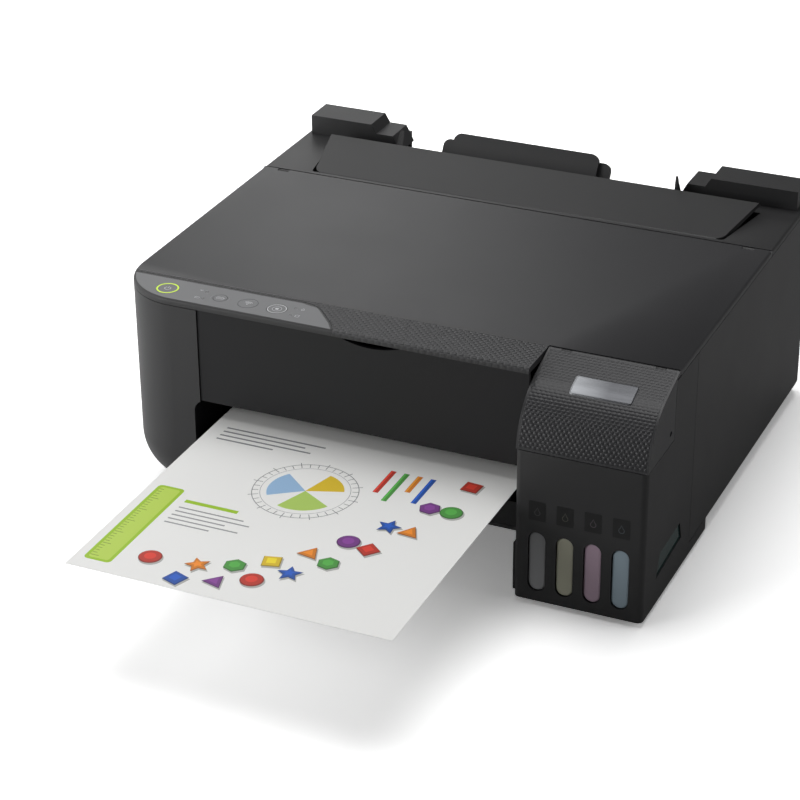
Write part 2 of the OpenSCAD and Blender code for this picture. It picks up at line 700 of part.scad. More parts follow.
module feeder_guard() color("#363638") {
  intersection() {
    up_z(deck_z - 8, top_z + 20) guard_outline(0, 10);
    // a thin wedge that rises to the back, with a round nose at the hinge
    along_x(-body_w, body_w) {
      translate([guard_axis_y, guard_axis_z]) circle(guard_barrel_r);
      polygon([
        [guard_axis_y, top_z], [guard_axis_y, guard_axis_z - guard_barrel_r],
        [guard_front + guard_d, guard_axis_z + guard_rise - 0.6],
        [guard_front + guard_d, top_z + guard_rise - 1], [guard_front + guard_d - 2, top_z + guard_rise]]);
    }
  }
  // pins at both ends
  for (s = [-1, 1]) mirror([s > 0 ? 0 : 1, 0, 0])
    bar_x(guard_w / 2 - 12, guard_w / 2 + guard_pin_l, guard_axis_y, guard_axis_z, pin_r);
  // ribs underneath
  for (x = [-100:40:100]) along_x(x - 0.8, x + 0.8) polygon([
    [guard_axis_y + 8, guard_axis_z - 0.6], [guard_axis_y + 10, deck_z - 2],
    [guard_front + guard_d - 10, deck_z + 3], [guard_front + guard_d - 6, guard_axis_z + guard_rise - 1]]);
}

// Paper support: the wide plate, and the narrower extension in front of it
module paper_support() color("#303032") on_ramp() difference() {
  along_y(ramp_t0 - gap - 3.4, ramp_t0 - gap)
    round_rect([support_x - support_w / 2, -70], [support_x + support_w / 2, support_top], 5);
  for (s = [-1, 1]) along_y(4, 13)
    translate([support_x + s * (support_w / 2 - 20), -58]) slot_2d(4, 50);
}

module support_extension() color("#3c3c3e") on_ramp() {
  along_y(ramp_t0 - 2 * gap - 6.8, ramp_t0 - 2 * gap - 3.4)
    round_rect([support_x - extension_w / 2, -60], [support_x + extension_w / 2, extension_top], 6);
}

module edge_guide() color("#2f2f31") on_ramp() {
  x = sheet_x0 - 2.4;
  along_x(x, x + 1.8) polygon([[-7, -48], [-7, -2], [-4, 12], [-1, 12], [1, 2], [1, -48]]);
  block([x, -1, -48], [x + 18, 1, -20]);
  // hook over the strip's top edge
  block([x + 1, 0.9, -21.7], [x + 17, 4.3, -20]);
  // squeeze lever on the guide's outer side
  block([x - 2.6, -6, -40], [x + EPS, -3, -12]);
}

// ---------- tank unit ----------

// Side outline of the tank cover: a gentle slope that rolls over to the upright front
lid_cy = y_tank + lid_r;
lid_cz = top_z - lid_r - 6;
// Direction of the slope that leaves the hinge line and touches the roll
lid_dy = lid_axis_y - lid_cy;
lid_dz = lid_axis_z + lid_barrel_r - lid_cz;
module lid_profile(inset) {
  r = lid_r - inset;
  dist = norm([lid_dy, lid_dz - inset]);
  a = atan2(lid_dz - inset, lid_dy) + acos(r / dist);
  touch = [lid_cy, lid_cz] + r * [cos(a), sin(a)];
  intersection() {
    union() {
      intersection() {
        translate([lid_cy, lid_cz]) circle(r, $fn = 96);
        translate([lid_cy, lid_cz])
          polygon([[0, 0], 2 * r * [cos(a), sin(a)], [-1.5 * r, 1.5 * r], [-2 * r, 0]]);
      }
      polygon([[lid_cy - 10, lid_cz], touch,
        [lid_axis_y, lid_axis_z + lid_barrel_r - inset], [lid_axis_y, lid_cz]]);
      if (lid_cz > lid_z)
        translate([y_tank + inset, lid_z]) square([lid_cy - y_tank - inset, lid_cz - lid_z]);
    }
    translate([y_tank, lid_z]) square([lid_d, body_w]);
  }
}

module tank_cover() color("#333335") difference() {
  union() {
    difference() {
      along_x(x_t + seam / 2, x_r) lid_profile(0);
      along_x(x_t + wall, x_r - wall) lid_profile(2.4);
      block([x_t, lid_axis_y - 4, lid_z - 1], [x_r + 1, lid_back + 1, lid_axis_z - lid_barrel_r]);
      // side flanges stop short at the back, on a slant
      along_x(x_t - 1, x_r + 1) polygon([
        [lid_back - 7, lid_z - 1], [lid_back - 7, deck_z - 6],
        [lid_back + 1, deck_z - 2], [lid_back + 1, lid_z - 1]]);
    }
    bar_x(x_t + seam / 2, x_r, lid_axis_y, lid_axis_z, lid_barrel_r);
  }
  // stop mark on the right flange
  bar_x(x_r - 0.8, x_r + 1, y_tank + 41, lid_z + 7.6, 1.7);
  for (x = lid_knuckles)
    block([x - 3 - gap, lid_axis_y - lid_barrel_r - 0.6, lid_z], [x + 3 + gap, lid_back + 1, top_z + 1]);
}

lid_knuckles = [x_t + 12, x_r - 12];

module lid_pins() color("#8c8c8c")
  for (x = lid_knuckles) bar_x(x - 3 - gap - 1, x + 3 + gap + 1, lid_axis_y, lid_axis_z, lid_pin_r);

module tank_case() color("#29292b") {
  difference() {
    union() {
      difference() {
        tank_box(0);
        tank_box(wall);
      }
      // cross wall under the hinge
      block([x_t + wall - EPS, lid_back - 3, lid_z - 4], [x_r - wall + EPS, lid_back - 1, deck_z - 4.2]);
      // skid behind the tanks, and the plinth beside the outlet
      block([x_t, tank_back - wall, tank_z], [x_r, tank_back + skid_l, skid_z]);
      block([x_t - plinth_w, y_tank + 8, tank_z], [x_t + EPS, exit_y - 14, sill_z - 1]);
      // ears of the hinge
      for (x = lid_knuckles) {
        bar_x(x - 3, x + 3, lid_axis_y, lid_axis_z, lid_barrel_r - 0.2);
        block([x - 3, lid_axis_y - 1.2, lid_z], [x + 3, lid_back - 0.6, lid_axis_z]);
      }
    }
    for (x = lid_knuckles) bar_x(x - 5, x + 5, lid_axis_y, lid_axis_z, lid_pin_r + run);
    // the tank cover's place
    along_x(x_t - 1, x_r + 1) polygon([
      [y_tank - 1, lid_z - seam], [lid_back - 6.6, lid_z - seam], [lid_back - 6.6, deck_z - 6.4],
      [lid_back - 5, deck_z - 5.4], [lid_back - 5, top_z + 1], [y_tank - 1, top_z + 1]]);
    // windows
    for (i = [0:3]) along_y(y_tank - 1, y_tank + wall + 1)
      translate([tank_left_x + i * window_pitch, window_z]) slot_2d(window_w, window_l);
    // holes for the tanks' outlets
    for (i = [0:3]) bar_y(tank_back - wall - 1, tank_back + 1, tank_left_x + i * window_pitch, 26, 2.2);
    // the inner walls stay below the printer cover's ribs
    block([x_t - 1, lid_back - 0.5, deck_z - 10], [x_r - wall, tank_back + 1, top_z]);
    // side window
    along_x(x_r - wall - 1, x_r + 1) side_window();
  }
}

module side_window() polygon([
  [y_tank + 24.6, 22], [y_tank + 30.7, 37.6], [y_tank + 69.2, 38.5], [y_tank + 72.9, 25.9]]);

// The tank unit's outer box, with rounded upright front edges
module tank_box(inset) {
  r = 4;
  up_z(tank_z + inset, inset > 0 ? top_z + 5 : deck_z - seam) difference() {
    translate([x_t + inset, y_tank + inset]) square([tank_w - 2 * inset, tank_d - 2 * inset]);
    for (s = [0, 1]) translate([s == 0 ? x_t + inset : x_r - inset, y_tank + inset]) mirror([s, 0])
      difference() {
        translate([-1, -1]) square(r - inset + 1);
        translate([r - inset, r - inset]) circle(r - inset);
      }
  }
}

tank_top = 98;
neck_y = y_tank + 26;
neck_r = 5.2;

module ink_tank(i, shade) {
  x = tank_left_x + i * window_pitch;
  w = window_pitch / 2 - 0.3;
  color(shade, 0.8) difference() {
    union() {
      along_x(x - w, x + w) polygon([
        [y_tank + wall + gap, tank_z + wall + 0.2], [y_tank + wall + gap, tank_top - 14],
        [y_tank + 14, tank_top],
        [tank_back - wall - 8, tank_top], [tank_back - wall - 2, tank_top - 10],
        [tank_back - wall - 2, 20], [tank_back - wall - 10, tank_z + wall + 0.2]]);
      bar_z(tank_top - 1, tank_top + 14, x, neck_y, neck_r);
      // outlet spigot at the back
      bar_y(tank_back - wall - 3, tank_back + 5, x, 26, 1.8);
    }
    bar_z(tank_top - 4, tank_top + 15, x, neck_y, neck_r - 1.6);
  }
}

module black_tank() ink_tank(0, "#4b4b4e");
module yellow_tank() ink_tank(1, "#8f8f70");
module magenta_tank() ink_tank(2, "#7d6a77");
module cyan_tank() ink_tank(3, "#6d7f8c");

module tank_cap(i, shade) color(shade) {
  x = tank_left_x + i * window_pitch;
  z = tank_top + 14 + gap;
  bar_z(tank_top + 8, z + 1, x, neck_y, neck_r - 1.6 - 0.3);
  difference() {
    bar_z(z, z + 5, x, neck_y, 7.2);
    for (a = [0:30:330])
      translate([x, neck_y, z - 1]) rotate(a) translate([7.8, 0, 0]) cylinder(r = 1.2, h = 7);
  }
  block([x - 3, neck_y + 6, z + 1], [x + 3, neck_y + 14, z + 3.4]);
}

module black_cap() tank_cap(0, "#2c2c2e");
module yellow_cap() tank_cap(1, "#b8a62a");
module magenta_cap() tank_cap(2, "#9c3a6c");
module cyan_cap() tank_cap(3, "#2b7fa6");

// ---------- mechanism ----------

module main_frame() color("#9aa0a4") difference() {
  union() {
    // back plate over the paper's way, with legs at both ends
    block([rail_x0 - plate_t, frame_y, sheet_z + 12], [rail_x1 + plate_t, frame_y + plate_t, belt_z + 11]);
    for (x = [x_l + curve_r + gap + 8, x_r - 34])
      block([x, frame_y, base_z + 3], [x + 20, frame_y + plate_t, sheet_z + 13]);
    // top flange
    block([rail_x0 - plate_t, frame_y - 14, belt_z + 9.5],
          [rail_x1 + plate_t, frame_y + plate_t, belt_z + 11]);
    // ears that hold the rail
    for (x = [rail_x0 - plate_t, rail_x1])
      block([x, rail_y - 9, rail_z - 10], [x + plate_t, frame_y + plate_t, belt_z + 11]);
    // side plates that hold the rollers, and their stays
    side_plate(plate_l, sheet_z + 20);
    side_plate(plate_r, sheet_z - 1);
    for (x = [plate_l, plate_r])
      block([x, feed_y + 8, base_z + 3], [x + plate_t, frame_y + plate_t, sheet_z + 20]);
    // pin of the idler pulley
    bar_y(belt_y - 1.5, frame_y + EPS, pulley_x1, belt_z, 2);
    // arm that holds the tubes and the flat cable over the carriage
    block([guide_x, bundle_y0, bundle_z + 2], [guide_x + 16, frame_y, bundle_z + 3.5]);
    block([guide_x, frame_y - 2, belt_z + 10.5], [guide_x + 16, frame_y - 0.5, bundle_z + 3.5]);
  }
  bar_x(x_l, x_r, rail_y, rail_z, rail_r);
  bar_x(plate_l - 1, plate_r + 3, feed_y, roller_z, shaft_r + run);
  bar_x(plate_l - 1, plate_r + 3, exit_y, roller_z, shaft_r + run);
  bar_x(plate_l - 1, plate_l + 3, idler_y, roller_z, shaft_r);
  bar_x(plate_l - 1, plate_l + 3, feed_y, pinion_z, 4);
  bar_y(frame_y - 1, frame_y + 3, pulley_x0, belt_z, 4);
}

module side_plate(x, z1) along_x(x, x + plate_t) polygon([
  [exit_y - 12, base_z + 3], [exit_y - 12, roller_z + 4], [exit_y - 6, z1 - 6], [exit_y, z1],
  [feed_y + 6, z1], [feed_y + 12, z1 - 8], [feed_y + 12, base_z + 3]]);

module guide_rail() color("#c8ccd0") bar_x(rail_x0 - 4, rail_x1 + 4, rail_y, rail_z, rail_r);

module encoder_strip() color("#b9b9a8")
  block([rail_x0 + EPS, frame_y - 4.4, rail_z - 9], [rail_x1 - EPS, frame_y - 4.1, rail_z - 3]);

module carriage_motor() color("#808488") {
  bar_y(frame_y + plate_t, frame_y + plate_t + 26, pulley_x0, belt_z, 9.5);
  bar_y(frame_y - 1.5, frame_y + plate_t + EPS, pulley_x0, belt_z, 3.9);
  bar_y(belt_y - 0.5, frame_y, pulley_x0, belt_z, 1.5);
}

// Belt: a flat loop round two equal pulleys
module drive_belt() color("#1c1c1c") along_y(belt_y, belt_y + belt_w) difference() {
  belt_loop(pulley_r + gap + belt_t);
  belt_loop(pulley_r + gap);
}
module belt_loop(r) {
  translate([pulley_x0, belt_z - r]) square([pulley_x1 - pulley_x0, 2 * r]);
  for (x = [pulley_x0, pulley_x1]) translate([x, belt_z]) circle(r);
}

module pulley(x, bore) difference() {
  union() {
    bar_y(belt_y, belt_y + belt_w, x, belt_z, pulley_r);
    // flanges that keep the belt on
    bar_y(belt_y - 1.2, belt_y - gap, x, belt_z, pulley_r + 2);
    bar_y(belt_y - gap - EPS, belt_y + EPS, x, belt_z, pulley_r - 1);
    bar_y(belt_y + belt_w - EPS, belt_y + belt_w + 1, x, belt_z, pulley_r - 1);
  }
  bar_y(belt_y - 3, belt_y + belt_w + 3, x, belt_z, bore);
}
module motor_pulley() color("#a8892f") pulley(pulley_x0, 1.5 + run);
module idler_pulley() color("#d9d9d6") pulley(pulley_x1, 2 + run);

module carriage() color("#1f1f21") difference() {
  x0 = carriage_x;
  x1 = carriage_x + carriage_w;
  mid = (x0 + x1) / 2;
  union() {
    // open tray that holds the head
    difference() {
      block([x0, carriage_y0, nozzle_z + 6], [x1, carriage_y1, rail_z + 12]);
      block([x0 + 2, carriage_y0 + 2, nozzle_z + 12], [x1 - 2, carriage_y1 - 2, rail_z + 13]);
      block([x0 + 10, carriage_y0 + 12, nozzle_z], [x1 - 10, carriage_y1 - 8, nozzle_z + 13]);
      // lowered front edge
      block([x0 - 1, carriage_y0 - 1, rail_z + 2], [x1 + 1, carriage_y0 + 20, rail_z + 13]);
    }
    // bearing block on the rail
    block([x0, carriage_y1 - EPS, rail_z - 7], [x1, rail_y + rail_r + 1.4, rail_z + 4.6]);
    // block that takes the tubes and the cable
    block([mid, carriage_y0, bundle_z - 15], [mid + 10, carriage_y1, bundle_z - 2 * loop_r + 3]);
    for (y = [carriage_y0, carriage_y1 - 2]) block([mid, y, rail_z], [mid + 10, y + 2, bundle_z - 14]);
    // belt clamp
    block([mid - 8, rail_y, rail_z + 1], [mid + 8, belt_y + belt_w + 1, belt_z - pulley_r + 2.5]);
  }
  bar_x(x0 - 1, x1 + 1, rail_y, rail_z, rail_r + run);
  // relief between the two bearings
  block([x0 + 14, rail_y - rail_r - 1, rail_z - 8], [x1 - 14, rail_y + rail_r - 1, rail_z - 2]);
  // passage of the lower belt strand
  block([mid - 9, belt_y - gap, belt_z - pulley_r - belt_t - 2 * gap],
        [mid + 9, belt_y + belt_w + gap, belt_z - pulley_r]);
}

module print_head() color("#3d3f42") {
  x0 = carriage_x + 2 + gap;
  x1 = carriage_x + carriage_w - 2 - gap;
  block([x0, carriage_y0 + 2 + gap, nozzle_z + 12], [x1, carriage_y1 - 2 - gap, rail_z]);
  block([x0 + 8.4, carriage_y0 + 12.4, nozzle_z + 2], [x1 - 8.4, carriage_y1 - 8.4, nozzle_z + 12 + EPS]);
  // nozzle plate
  block([x0 + 14, carriage_y0 + 20, nozzle_z], [x1 - 14, carriage_y1 - 16, nozzle_z + 2 + EPS]);
  // dampers, one a colour
  for (i = [0:3]) translate([x0 + 3 + i * 15.5, 0, 0])
    block([0, carriage_y0 + 26, rail_z - EPS], [13, carriage_y1 - 6, rail_z + 8]);
}

module feed_roller() {
  color("#b9bcc0") bar_x(gear_x - 1, plate_r + plate_t + 0.5, feed_y, roller_z, shaft_r);
  color("#2d2d2d") bar_x(plate_l + 12, plate_r - 6, feed_y, roller_z, roller_r);
  color("#e2dfd6") gear_x(gear_x, feed_y, roller_z, feed_teeth, 0, shaft_r - 0.5, 6);
}

module exit_roller() {
  color("#b9bcc0") bar_x(gear_x - 1, plate_r + plate_t + 0.5, exit_y, roller_z, shaft_r);
  color("#2d2d2d") for (x = exit_x) bar_x(x - 5, x + 5, exit_y, roller_z, roller_r);
  color("#e2dfd6") gear_x(gear_x, exit_y, roller_z, feed_teeth, 0, shaft_r - 0.5, 6);
}
exit_x = [for (i = [0:6]) sheet_x0 + 15 + i * (sheet_w - 30) / 6];

module idler_gear() color("#d7d3c8") {
  gear_x(gear_x, idler_y, roller_z, idler_teeth, 180 / idler_teeth, 2.5, 6);
  bar_x(gear_x - 1, plate_l + plate_t - 0.1, idler_y, roller_z, shaft_r - run);
}
module motor_pinion() color("#b08d57")
  translate([gear_x, feed_y, pinion_z]) rotate([90, 0, 90]) linear_extrude(gear_w) difference() {
    rotate(90 - 180 / pinion_teeth) gear_2d(pinion_teeth);
    circle(1.5 + run);
  }

module paper_motor() color("#808488") {
  bar_x(plate_l + plate_t, plate_l + plate_t + 22, feed_y, pinion_z, 11);
  bar_x(plate_l - 0.5, plate_l + plate_t + EPS, feed_y, pinion_z, 3.9);
  bar_x(gear_x - 1, plate_l, feed_y, pinion_z, 1.5);
}

module platen() color("#1d1d1f") {
  y0 = exit_y + 12;
  y1 = feed_y - 10;
  block([plate_l + plate_t + 8, y0, roller_z - 4], [plate_r - gap, y1, sheet_z - 5]);
  // ribs that carry the sheet over the ink trough
  for (i = [0:13]) translate([sheet_x0 + 6 + i * (sheet_w - 14) / 13, 0, 0])
    block([0, y0 + 2, sheet_z - 5.1], [1.6, y1 - 2, sheet_z - gap]);
  // end brackets on the side plates
  block([plate_l + plate_t, y0 + 10, roller_z - 4], [plate_l + plate_t + 8.1, y1 - 10, roller_z - 1]);
}

star_x1 = sheet_x1 + 3.5; // right end of the star wheels' holder
module star_wheel_holder() color("#2a2a2c") difference() {
  union() {
    block([plate_l + plate_t, exit_y - 9, star_z + 7], [star_x1, exit_y + 9, star_z + 9.5]);
    block([plate_l + plate_t, exit_y - 9, star_z + 4], [star_x1, exit_y - 7, star_z + 7.1]);
    for (x = [plate_l + plate_t, star_x1 - 3])
      block([x, exit_y - 4, star_z - 3], [x + 3, exit_y + 4, star_z + 7.1]);
  }
  bar_x(plate_l, star_x1 + 1, exit_y, star_z, 1 + run);
}

module star_wheels() color("#cfd2d4") {
  bar_x(plate_l + plate_t, star_x1, exit_y, star_z, 1);
  for (x = exit_x) translate([x - 0.4, exit_y, star_z]) rotate([90, 0, 90]) linear_extrude(0.8) star_2d();
}
module star_2d() polygon([for (i = [0:31])
  (i % 2 == 0 ? star_r : star_r - 1.1) * [cos(i * 11.25), sin(i * 11.25)]]);

module pinch_holder() color("#2a2a2c") difference() {
  union() {
    block([plate_l + plate_t, feed_y - 2, pinch_z + 6], [plate_r + plate_t, feed_y + 8, pinch_z + 9]);
    for (x = [plate_l + plate_t, plate_r - 3])
      block([x, feed_y - 2, pinch_z - 3], [x + 3, feed_y + 8, pinch_z + 6.1]);
    // arm up to the frame
    for (x = [plate_l + 20, (plate_l + plate_r) / 2, plate_r - 22])
      block([x, feed_y + 8 - EPS, pinch_z + 6], [x + 12, frame_y, pinch_z + 9]);
  }
  bar_x(plate_l, plate_r + 3, feed_y, pinch_z, 1.2 + run);
}
module pinch_rollers() color("#8a8d90") {
  bar_x(plate_l + plate_t, plate_r, feed_y, pinch_z, 1.2);
  for (x = exit_x) bar_x(x - 8, x + 8, feed_y, pinch_z, pinch_r);
}

module pickup_roller() {
  color("#b9bcc0") bar_x(feeder_l - 8, feeder_r + 8, pickup_y, pickup_z, shaft_r);
  // rubber tyres with a flat side
  color("#55585a") for (x = [support_x - 30, support_x + 30]) difference() {
    bar_x(x - 9, x + 9, pickup_y, pickup_z, pickup_r);
    block([x - 10, pickup_y - pickup_r - 1, pickup_z + 8],
          [x + 10, pickup_y + pickup_r + 1, pickup_z + pickup_r + 1]);
  }
}

// ---------- output tray ----------

slide_x0 = support_x - 45;
slide_x1 = support_x + 45;

module output_tray() color("#28282a") difference() {
  union() {
    block([outlet_x0 + 4, y_front + 3, tray_z], [outlet_x1 - 4, y_front + 3 + tray_l, tray_z + 3]);
    // front lip
    along_y(y_front + 0.6, y_front + 3.6)
      round_rect([outlet_x0 + 3, sill_z + 1.5], [outlet_x1 - 3, tray_z + 12], 3);
    // runners
    for (x = [outlet_x0 + 4, outlet_x1 - 6])
      block([x, y_front + 3, tray_z + 2.9], [x + 2, y_front + 3 + tray_l, tray_z + 8]);
  }
  // well of the extension
  block([slide_x0 - gap, y_front - 1, tray_z + 1.6], [slide_x1 + gap, y_front + 3 + tray_l - 6, tray_z + 20]);
  // finger notch under the lip
  along_y(y_front - 1, y_front + 5) translate([support_x, sill_z - 6]) circle(14);
}

module tray_extension() color("#2e2e30") difference() {
  union() {
    block([slide_x0, y_front + 3, tray_z + 1.9], [slide_x1, y_front + tray_l - 8, tray_z + 4]);
    block([slide_x0, y_front + 0.6, tray_z + 1.9], [slide_x1, y_front + 3.6, tray_z + 11]);
    for (x = [slide_x0 + 12 : 13 : slide_x1 - 10])
      block([x, y_front + 6, tray_z + 3.9], [x + 1.4, y_front + tray_l - 14, tray_z + 5]);
  }
  along_y(y_front - 1, y_front + 5) translate([support_x, tray_z + 16]) circle(11);
}

module printed_sheet() color("#f4f4f2")
  block([sheet_x0, sheet_y0, sheet_z], [sheet_x1, sheet_y0 + sheet_l, sheet_z + sheet_t]);

// ---------- other inner pieces ----------

module capping_unit() color("#4a4c50") {
  block([cap_x0, cap_y0, sheet_z - 22], [cap_x1, cap_y1, nozzle_z - 4]);
  difference() {
    block([cap_x0 + 3, cap_y0 + 3, nozzle_z - 4.1], [cap_x1 - 3, cap_y1 - 3, nozzle_z - gap]);
    block([cap_x0 + 5, cap_y0 + 5, nozzle_z - 2.5], [cap_x1 - 5, cap_y1 - 5, nozzle_z]);
  }
}

module ink_pad() color("#d8d6cf") difference() {
  block([x_l + 70, 32, base_z + 3], [x_r - 90, 138, base_z + 21]);
  for (i = [0:4]) block([x_l + 84 + i * 40, 40, base_z + 17], [x_l + 90 + i * 40, 130, base_z + 22]);
}

module power_supply() {
  color("#c9c9c4") block([x_r - 78, 52, base_z + 9], [x_r - 12, y_rear - 30, base_z + 48]);
  // seat on the floor
  color("#333333") for (y = [60, 120]) block([x_r - 70, y, base_z + 3], [x_r - 20, y + 6, base_z + 9.01]);
}

module main_board() {
  x = x_l + 12;
  color("#1f5b34") block([x, 45, 52], [x + 1.6, y_rear - 20, 132]);
  color("#222222") {
    block([x + 1.59, 70, 84], [x + 3.4, 92, 106]);
    block([x + 1.59, 104, 88], [x + 3, 116, 102]);
    for (y = [52, 60, 128]) block([x + 1.59, y, 60], [x + 8, y + 5, 74]);
  }
  // standoffs on the case's side
  color("#2b2b2d") for (y = [51, y_rear - 28], z = [58, 124]) bar_x(x_l + wall, x + EPS, y, z, 3);
}

module rear_sockets() {
  // two-pin mains inlet, open to the back
  color("#151515") difference() {
    block([inlet_x - 10.6, y_rear - 22, 62.4], [inlet_x + 10.6, y_rear - 0.6, 79.6]);
    along_y(y_rear - 16, y_rear + 1) for (s = [-1, 1]) translate([inlet_x + s * 3.6, 71]) circle(4.6);
    along_y(y_rear - 16, y_rear + 1) translate([inlet_x - 3.6, 66.4]) square([7.2, 9.2]);
  }
  color("#b8b8b8") for (s = [-1, 1]) bar_y(y_rear - 17, y_rear - 6, inlet_x + s * 3.6, 71, 1.2);
  // square data socket
  color("#c4c6c8") difference() {
    block([socket_x - 6.1, y_rear - 18, 64.4], [socket_x + 6.1, y_rear - 0.6, 75.6]);
    block([socket_x - 5.1, y_rear - 15, 65.4], [socket_x + 5.1, y_rear + 1, 74.6]);
  }
  color("#eeeeee") block([socket_x - 2.9, y_rear - 15.1, 68.4], [socket_x + 2.9, y_rear - 5, 71.6]);
  // plate that carries both inside the back wall
  color("#333333") difference() {
    block([socket_x - 10, y_rear - 6.5, 56], [inlet_x + 16, y_rear - wall - 0.01, 86]);
    block([inlet_x - 10.6, y_rear - 8, 62.4], [inlet_x + 10.6, y_rear, 79.6]);
    block([socket_x - 6.1, y_rear - 8, 64.4], [socket_x + 6.1, y_rear, 75.6]);
  }
}

// Four soft tubes: from the tanks they run to the right, up the side and over to the frame's arm
function lane_y(i) = bundle_y0 + 2 + (3 - i) * lane;
module ink_tubes() {
  z = 26;
  xr = x_r - wall - 3.2;
  for (i = [0:3]) color(tube_colours[i]) {
    x = tank_left_x + i * window_pitch;
    y = lane_y(i);
    bar_y(tank_back + 5, y, x, z, tube_r);
    translate([x, y, z]) sphere(tube_r);
    bar_x(x, xr, y, z, tube_r);
    translate([xr, y, z]) sphere(tube_r);
    bar_z(z, bundle_z, xr, y, tube_r);
    translate([xr, y, bundle_z]) sphere(tube_r);
    bar_x(guide_x, xr, y, bundle_z, tube_r);
  }
}
tube_colours = ["#3a3a3a", "#b0a030", "#a04070", "#3080a0"];

// The same tubes past the arm: they turn back under themselves to the carriage
function loop_path(x0, x1) = concat(
  [[x0, bundle_z]],
  [for (a = [90:15:270]) [loop_x, bundle_z - loop_r] + loop_r * [cos(a), sin(a)]],
  [[x1, bundle_z - 2 * loop_r]]);
module tube_loop() for (i = [0:3]) color(tube_colours[i]) {
  path = loop_path(guide_x, carriage_x + carriage_w / 2);
  last = len(path) - 1;
  sides = 10;
  points = [for (k = [0:last]) let (
      a = path[max(0, k - 1)], b = path[min(last, k + 1)], along = (b - a) / norm(b - a),
      out = [-along.y, along.x])
    for (j = [0:sides - 1]) let (t = 360 * j / sides, q = path[k] + tube_r * cos(t) * out)
      [q.x, lane_y(i) + tube_r * sin(t), q.y]];
  rings = [for (k = [0:last - 1], j = [0:sides - 1]) let (n = (j + 1) % sides)
    [k * sides + j, k * sides + n, (k + 1) * sides + n, (k + 1) * sides + j]];
  ends = [[for (j = [sides - 1:-1:0]) j], [for (j = [0:sides - 1]) last * sides + j]];
  polyhedron(points, concat(ends, rings));
}

// Flat cable that turns back in the same way, beside the tubes
cable_y0 = bundle_y0 + 22;
cable_y1 = cable_y0 + 18;
cable_t = 0.6;
module flat_cable() color("#d8d8d4") along_y(cable_y0, cable_y1) {
  x1 = carriage_x + carriage_w / 2;
  for (z = [bundle_z - cable_t / 2, bundle_z - 2 * loop_r - cable_t / 2])
    translate([loop_x, z]) square([(z > bundle_z - 2 ? guide_x : x1) - loop_x, cable_t]);
  translate([loop_x, bundle_z - loop_r]) difference() {
    circle(loop_r + cable_t / 2);
    circle(loop_r - cable_t / 2);
    translate([0, -2 * loop_r]) square(4 * loop_r);
  }
}

module case_screws() color("#6c7074") {
  for (p = screws) difference() {
    union() {
      bar_z(base_z - 1.2, base_z, p.x, p.y, 3.2);
      bar_z(base_z - EPS, base_z + 7.5, p.x, p.y, 1.5);
    }
    for (a = [0, 90]) translate([p.x, p.y, base_z - 1.3]) rotate(a) cube([3.6, 0.9, 1.2], center = true);
  }
}

outer_case();
base_case();
front_panel();
control_deck();
control_overlay();
indicator_lenses();
control_board();
rubber_feet();
rear_feeder();
rear_sockets();
power_supply();
main_board();
main_frame();
guide_rail();
encoder_strip();
carriage_motor();
drive_belt();
paper_motor();
platen();
ink_pad();
star_wheel_holder();
pinch_holder();
tank_case();
black_tank();
yellow_tank();
magenta_tank();
cyan_tank();
ink_tubes();
tube_loop();
flat_cable();
case_screws();
printer_cover();
feeder_guard();
paper_support();
support_extension();
edge_guide();
union() {
  tank_cover();
  lid_pins();
}
black_cap();
yellow_cap();
magenta_cap();
cyan_cap();
power_button();
info_button();
wifi_button();
stop_button();
carriage();
print_head();
motor_pulley();
idler_pulley();
feed_roller();
motor_pinion();
idler_gear();
exit_roller();
star_wheels();
pinch_rollers();
pickup_roller();
output_tray();
tray_extension();
printed_sheet();
capping_unit();
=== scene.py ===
"""Inkjet printer with an ink tank unit: finishes, small pieces, camera and light round the CAD frame.

Lengths are in millimetres, which MM turns into Blender's metres, except for those of the camera, the
lamps, the floor and the depths of bumps, which are in metres. X is the printer's right, Y its back,
Z up, and the origin is on the table.
"""
import math

import bpy
import numpy as np
from mathutils import Matrix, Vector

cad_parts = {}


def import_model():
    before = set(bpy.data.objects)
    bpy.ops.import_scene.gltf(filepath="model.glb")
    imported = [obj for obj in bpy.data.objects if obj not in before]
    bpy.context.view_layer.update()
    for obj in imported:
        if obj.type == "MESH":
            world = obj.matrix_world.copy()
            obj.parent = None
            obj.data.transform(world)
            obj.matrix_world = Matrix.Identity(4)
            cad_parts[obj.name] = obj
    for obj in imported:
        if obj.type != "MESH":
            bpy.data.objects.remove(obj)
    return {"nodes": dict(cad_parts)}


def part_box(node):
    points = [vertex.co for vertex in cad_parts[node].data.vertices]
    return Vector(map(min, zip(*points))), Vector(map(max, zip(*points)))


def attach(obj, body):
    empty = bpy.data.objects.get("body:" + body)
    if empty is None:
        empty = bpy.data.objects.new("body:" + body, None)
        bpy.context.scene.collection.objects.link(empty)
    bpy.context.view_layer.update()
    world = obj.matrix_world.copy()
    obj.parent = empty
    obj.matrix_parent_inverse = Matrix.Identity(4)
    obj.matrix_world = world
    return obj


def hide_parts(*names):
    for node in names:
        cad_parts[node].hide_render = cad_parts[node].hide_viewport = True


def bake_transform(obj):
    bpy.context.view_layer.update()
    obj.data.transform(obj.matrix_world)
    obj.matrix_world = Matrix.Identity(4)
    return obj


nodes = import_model()["nodes"]
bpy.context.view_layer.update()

MM = 0.001

# the camera, from the front right and above: degrees round, down and of roll, and its place in metres
CAMERA_TURN = (23.78, 28.724, -0.2508)
CAMERA_PLACE = (0.58755, -1.41366, 0.83864)
FOCAL_LENGTH, SENSOR_WIDTH = 113.25, 36
LENS_SHIFT = (-0.02665, 0.0582)

# faces that meet at more than this many degrees keep a sharp edge between them
SHARP_ANGLE = 24
WELD_DISTANCE = 1e-6

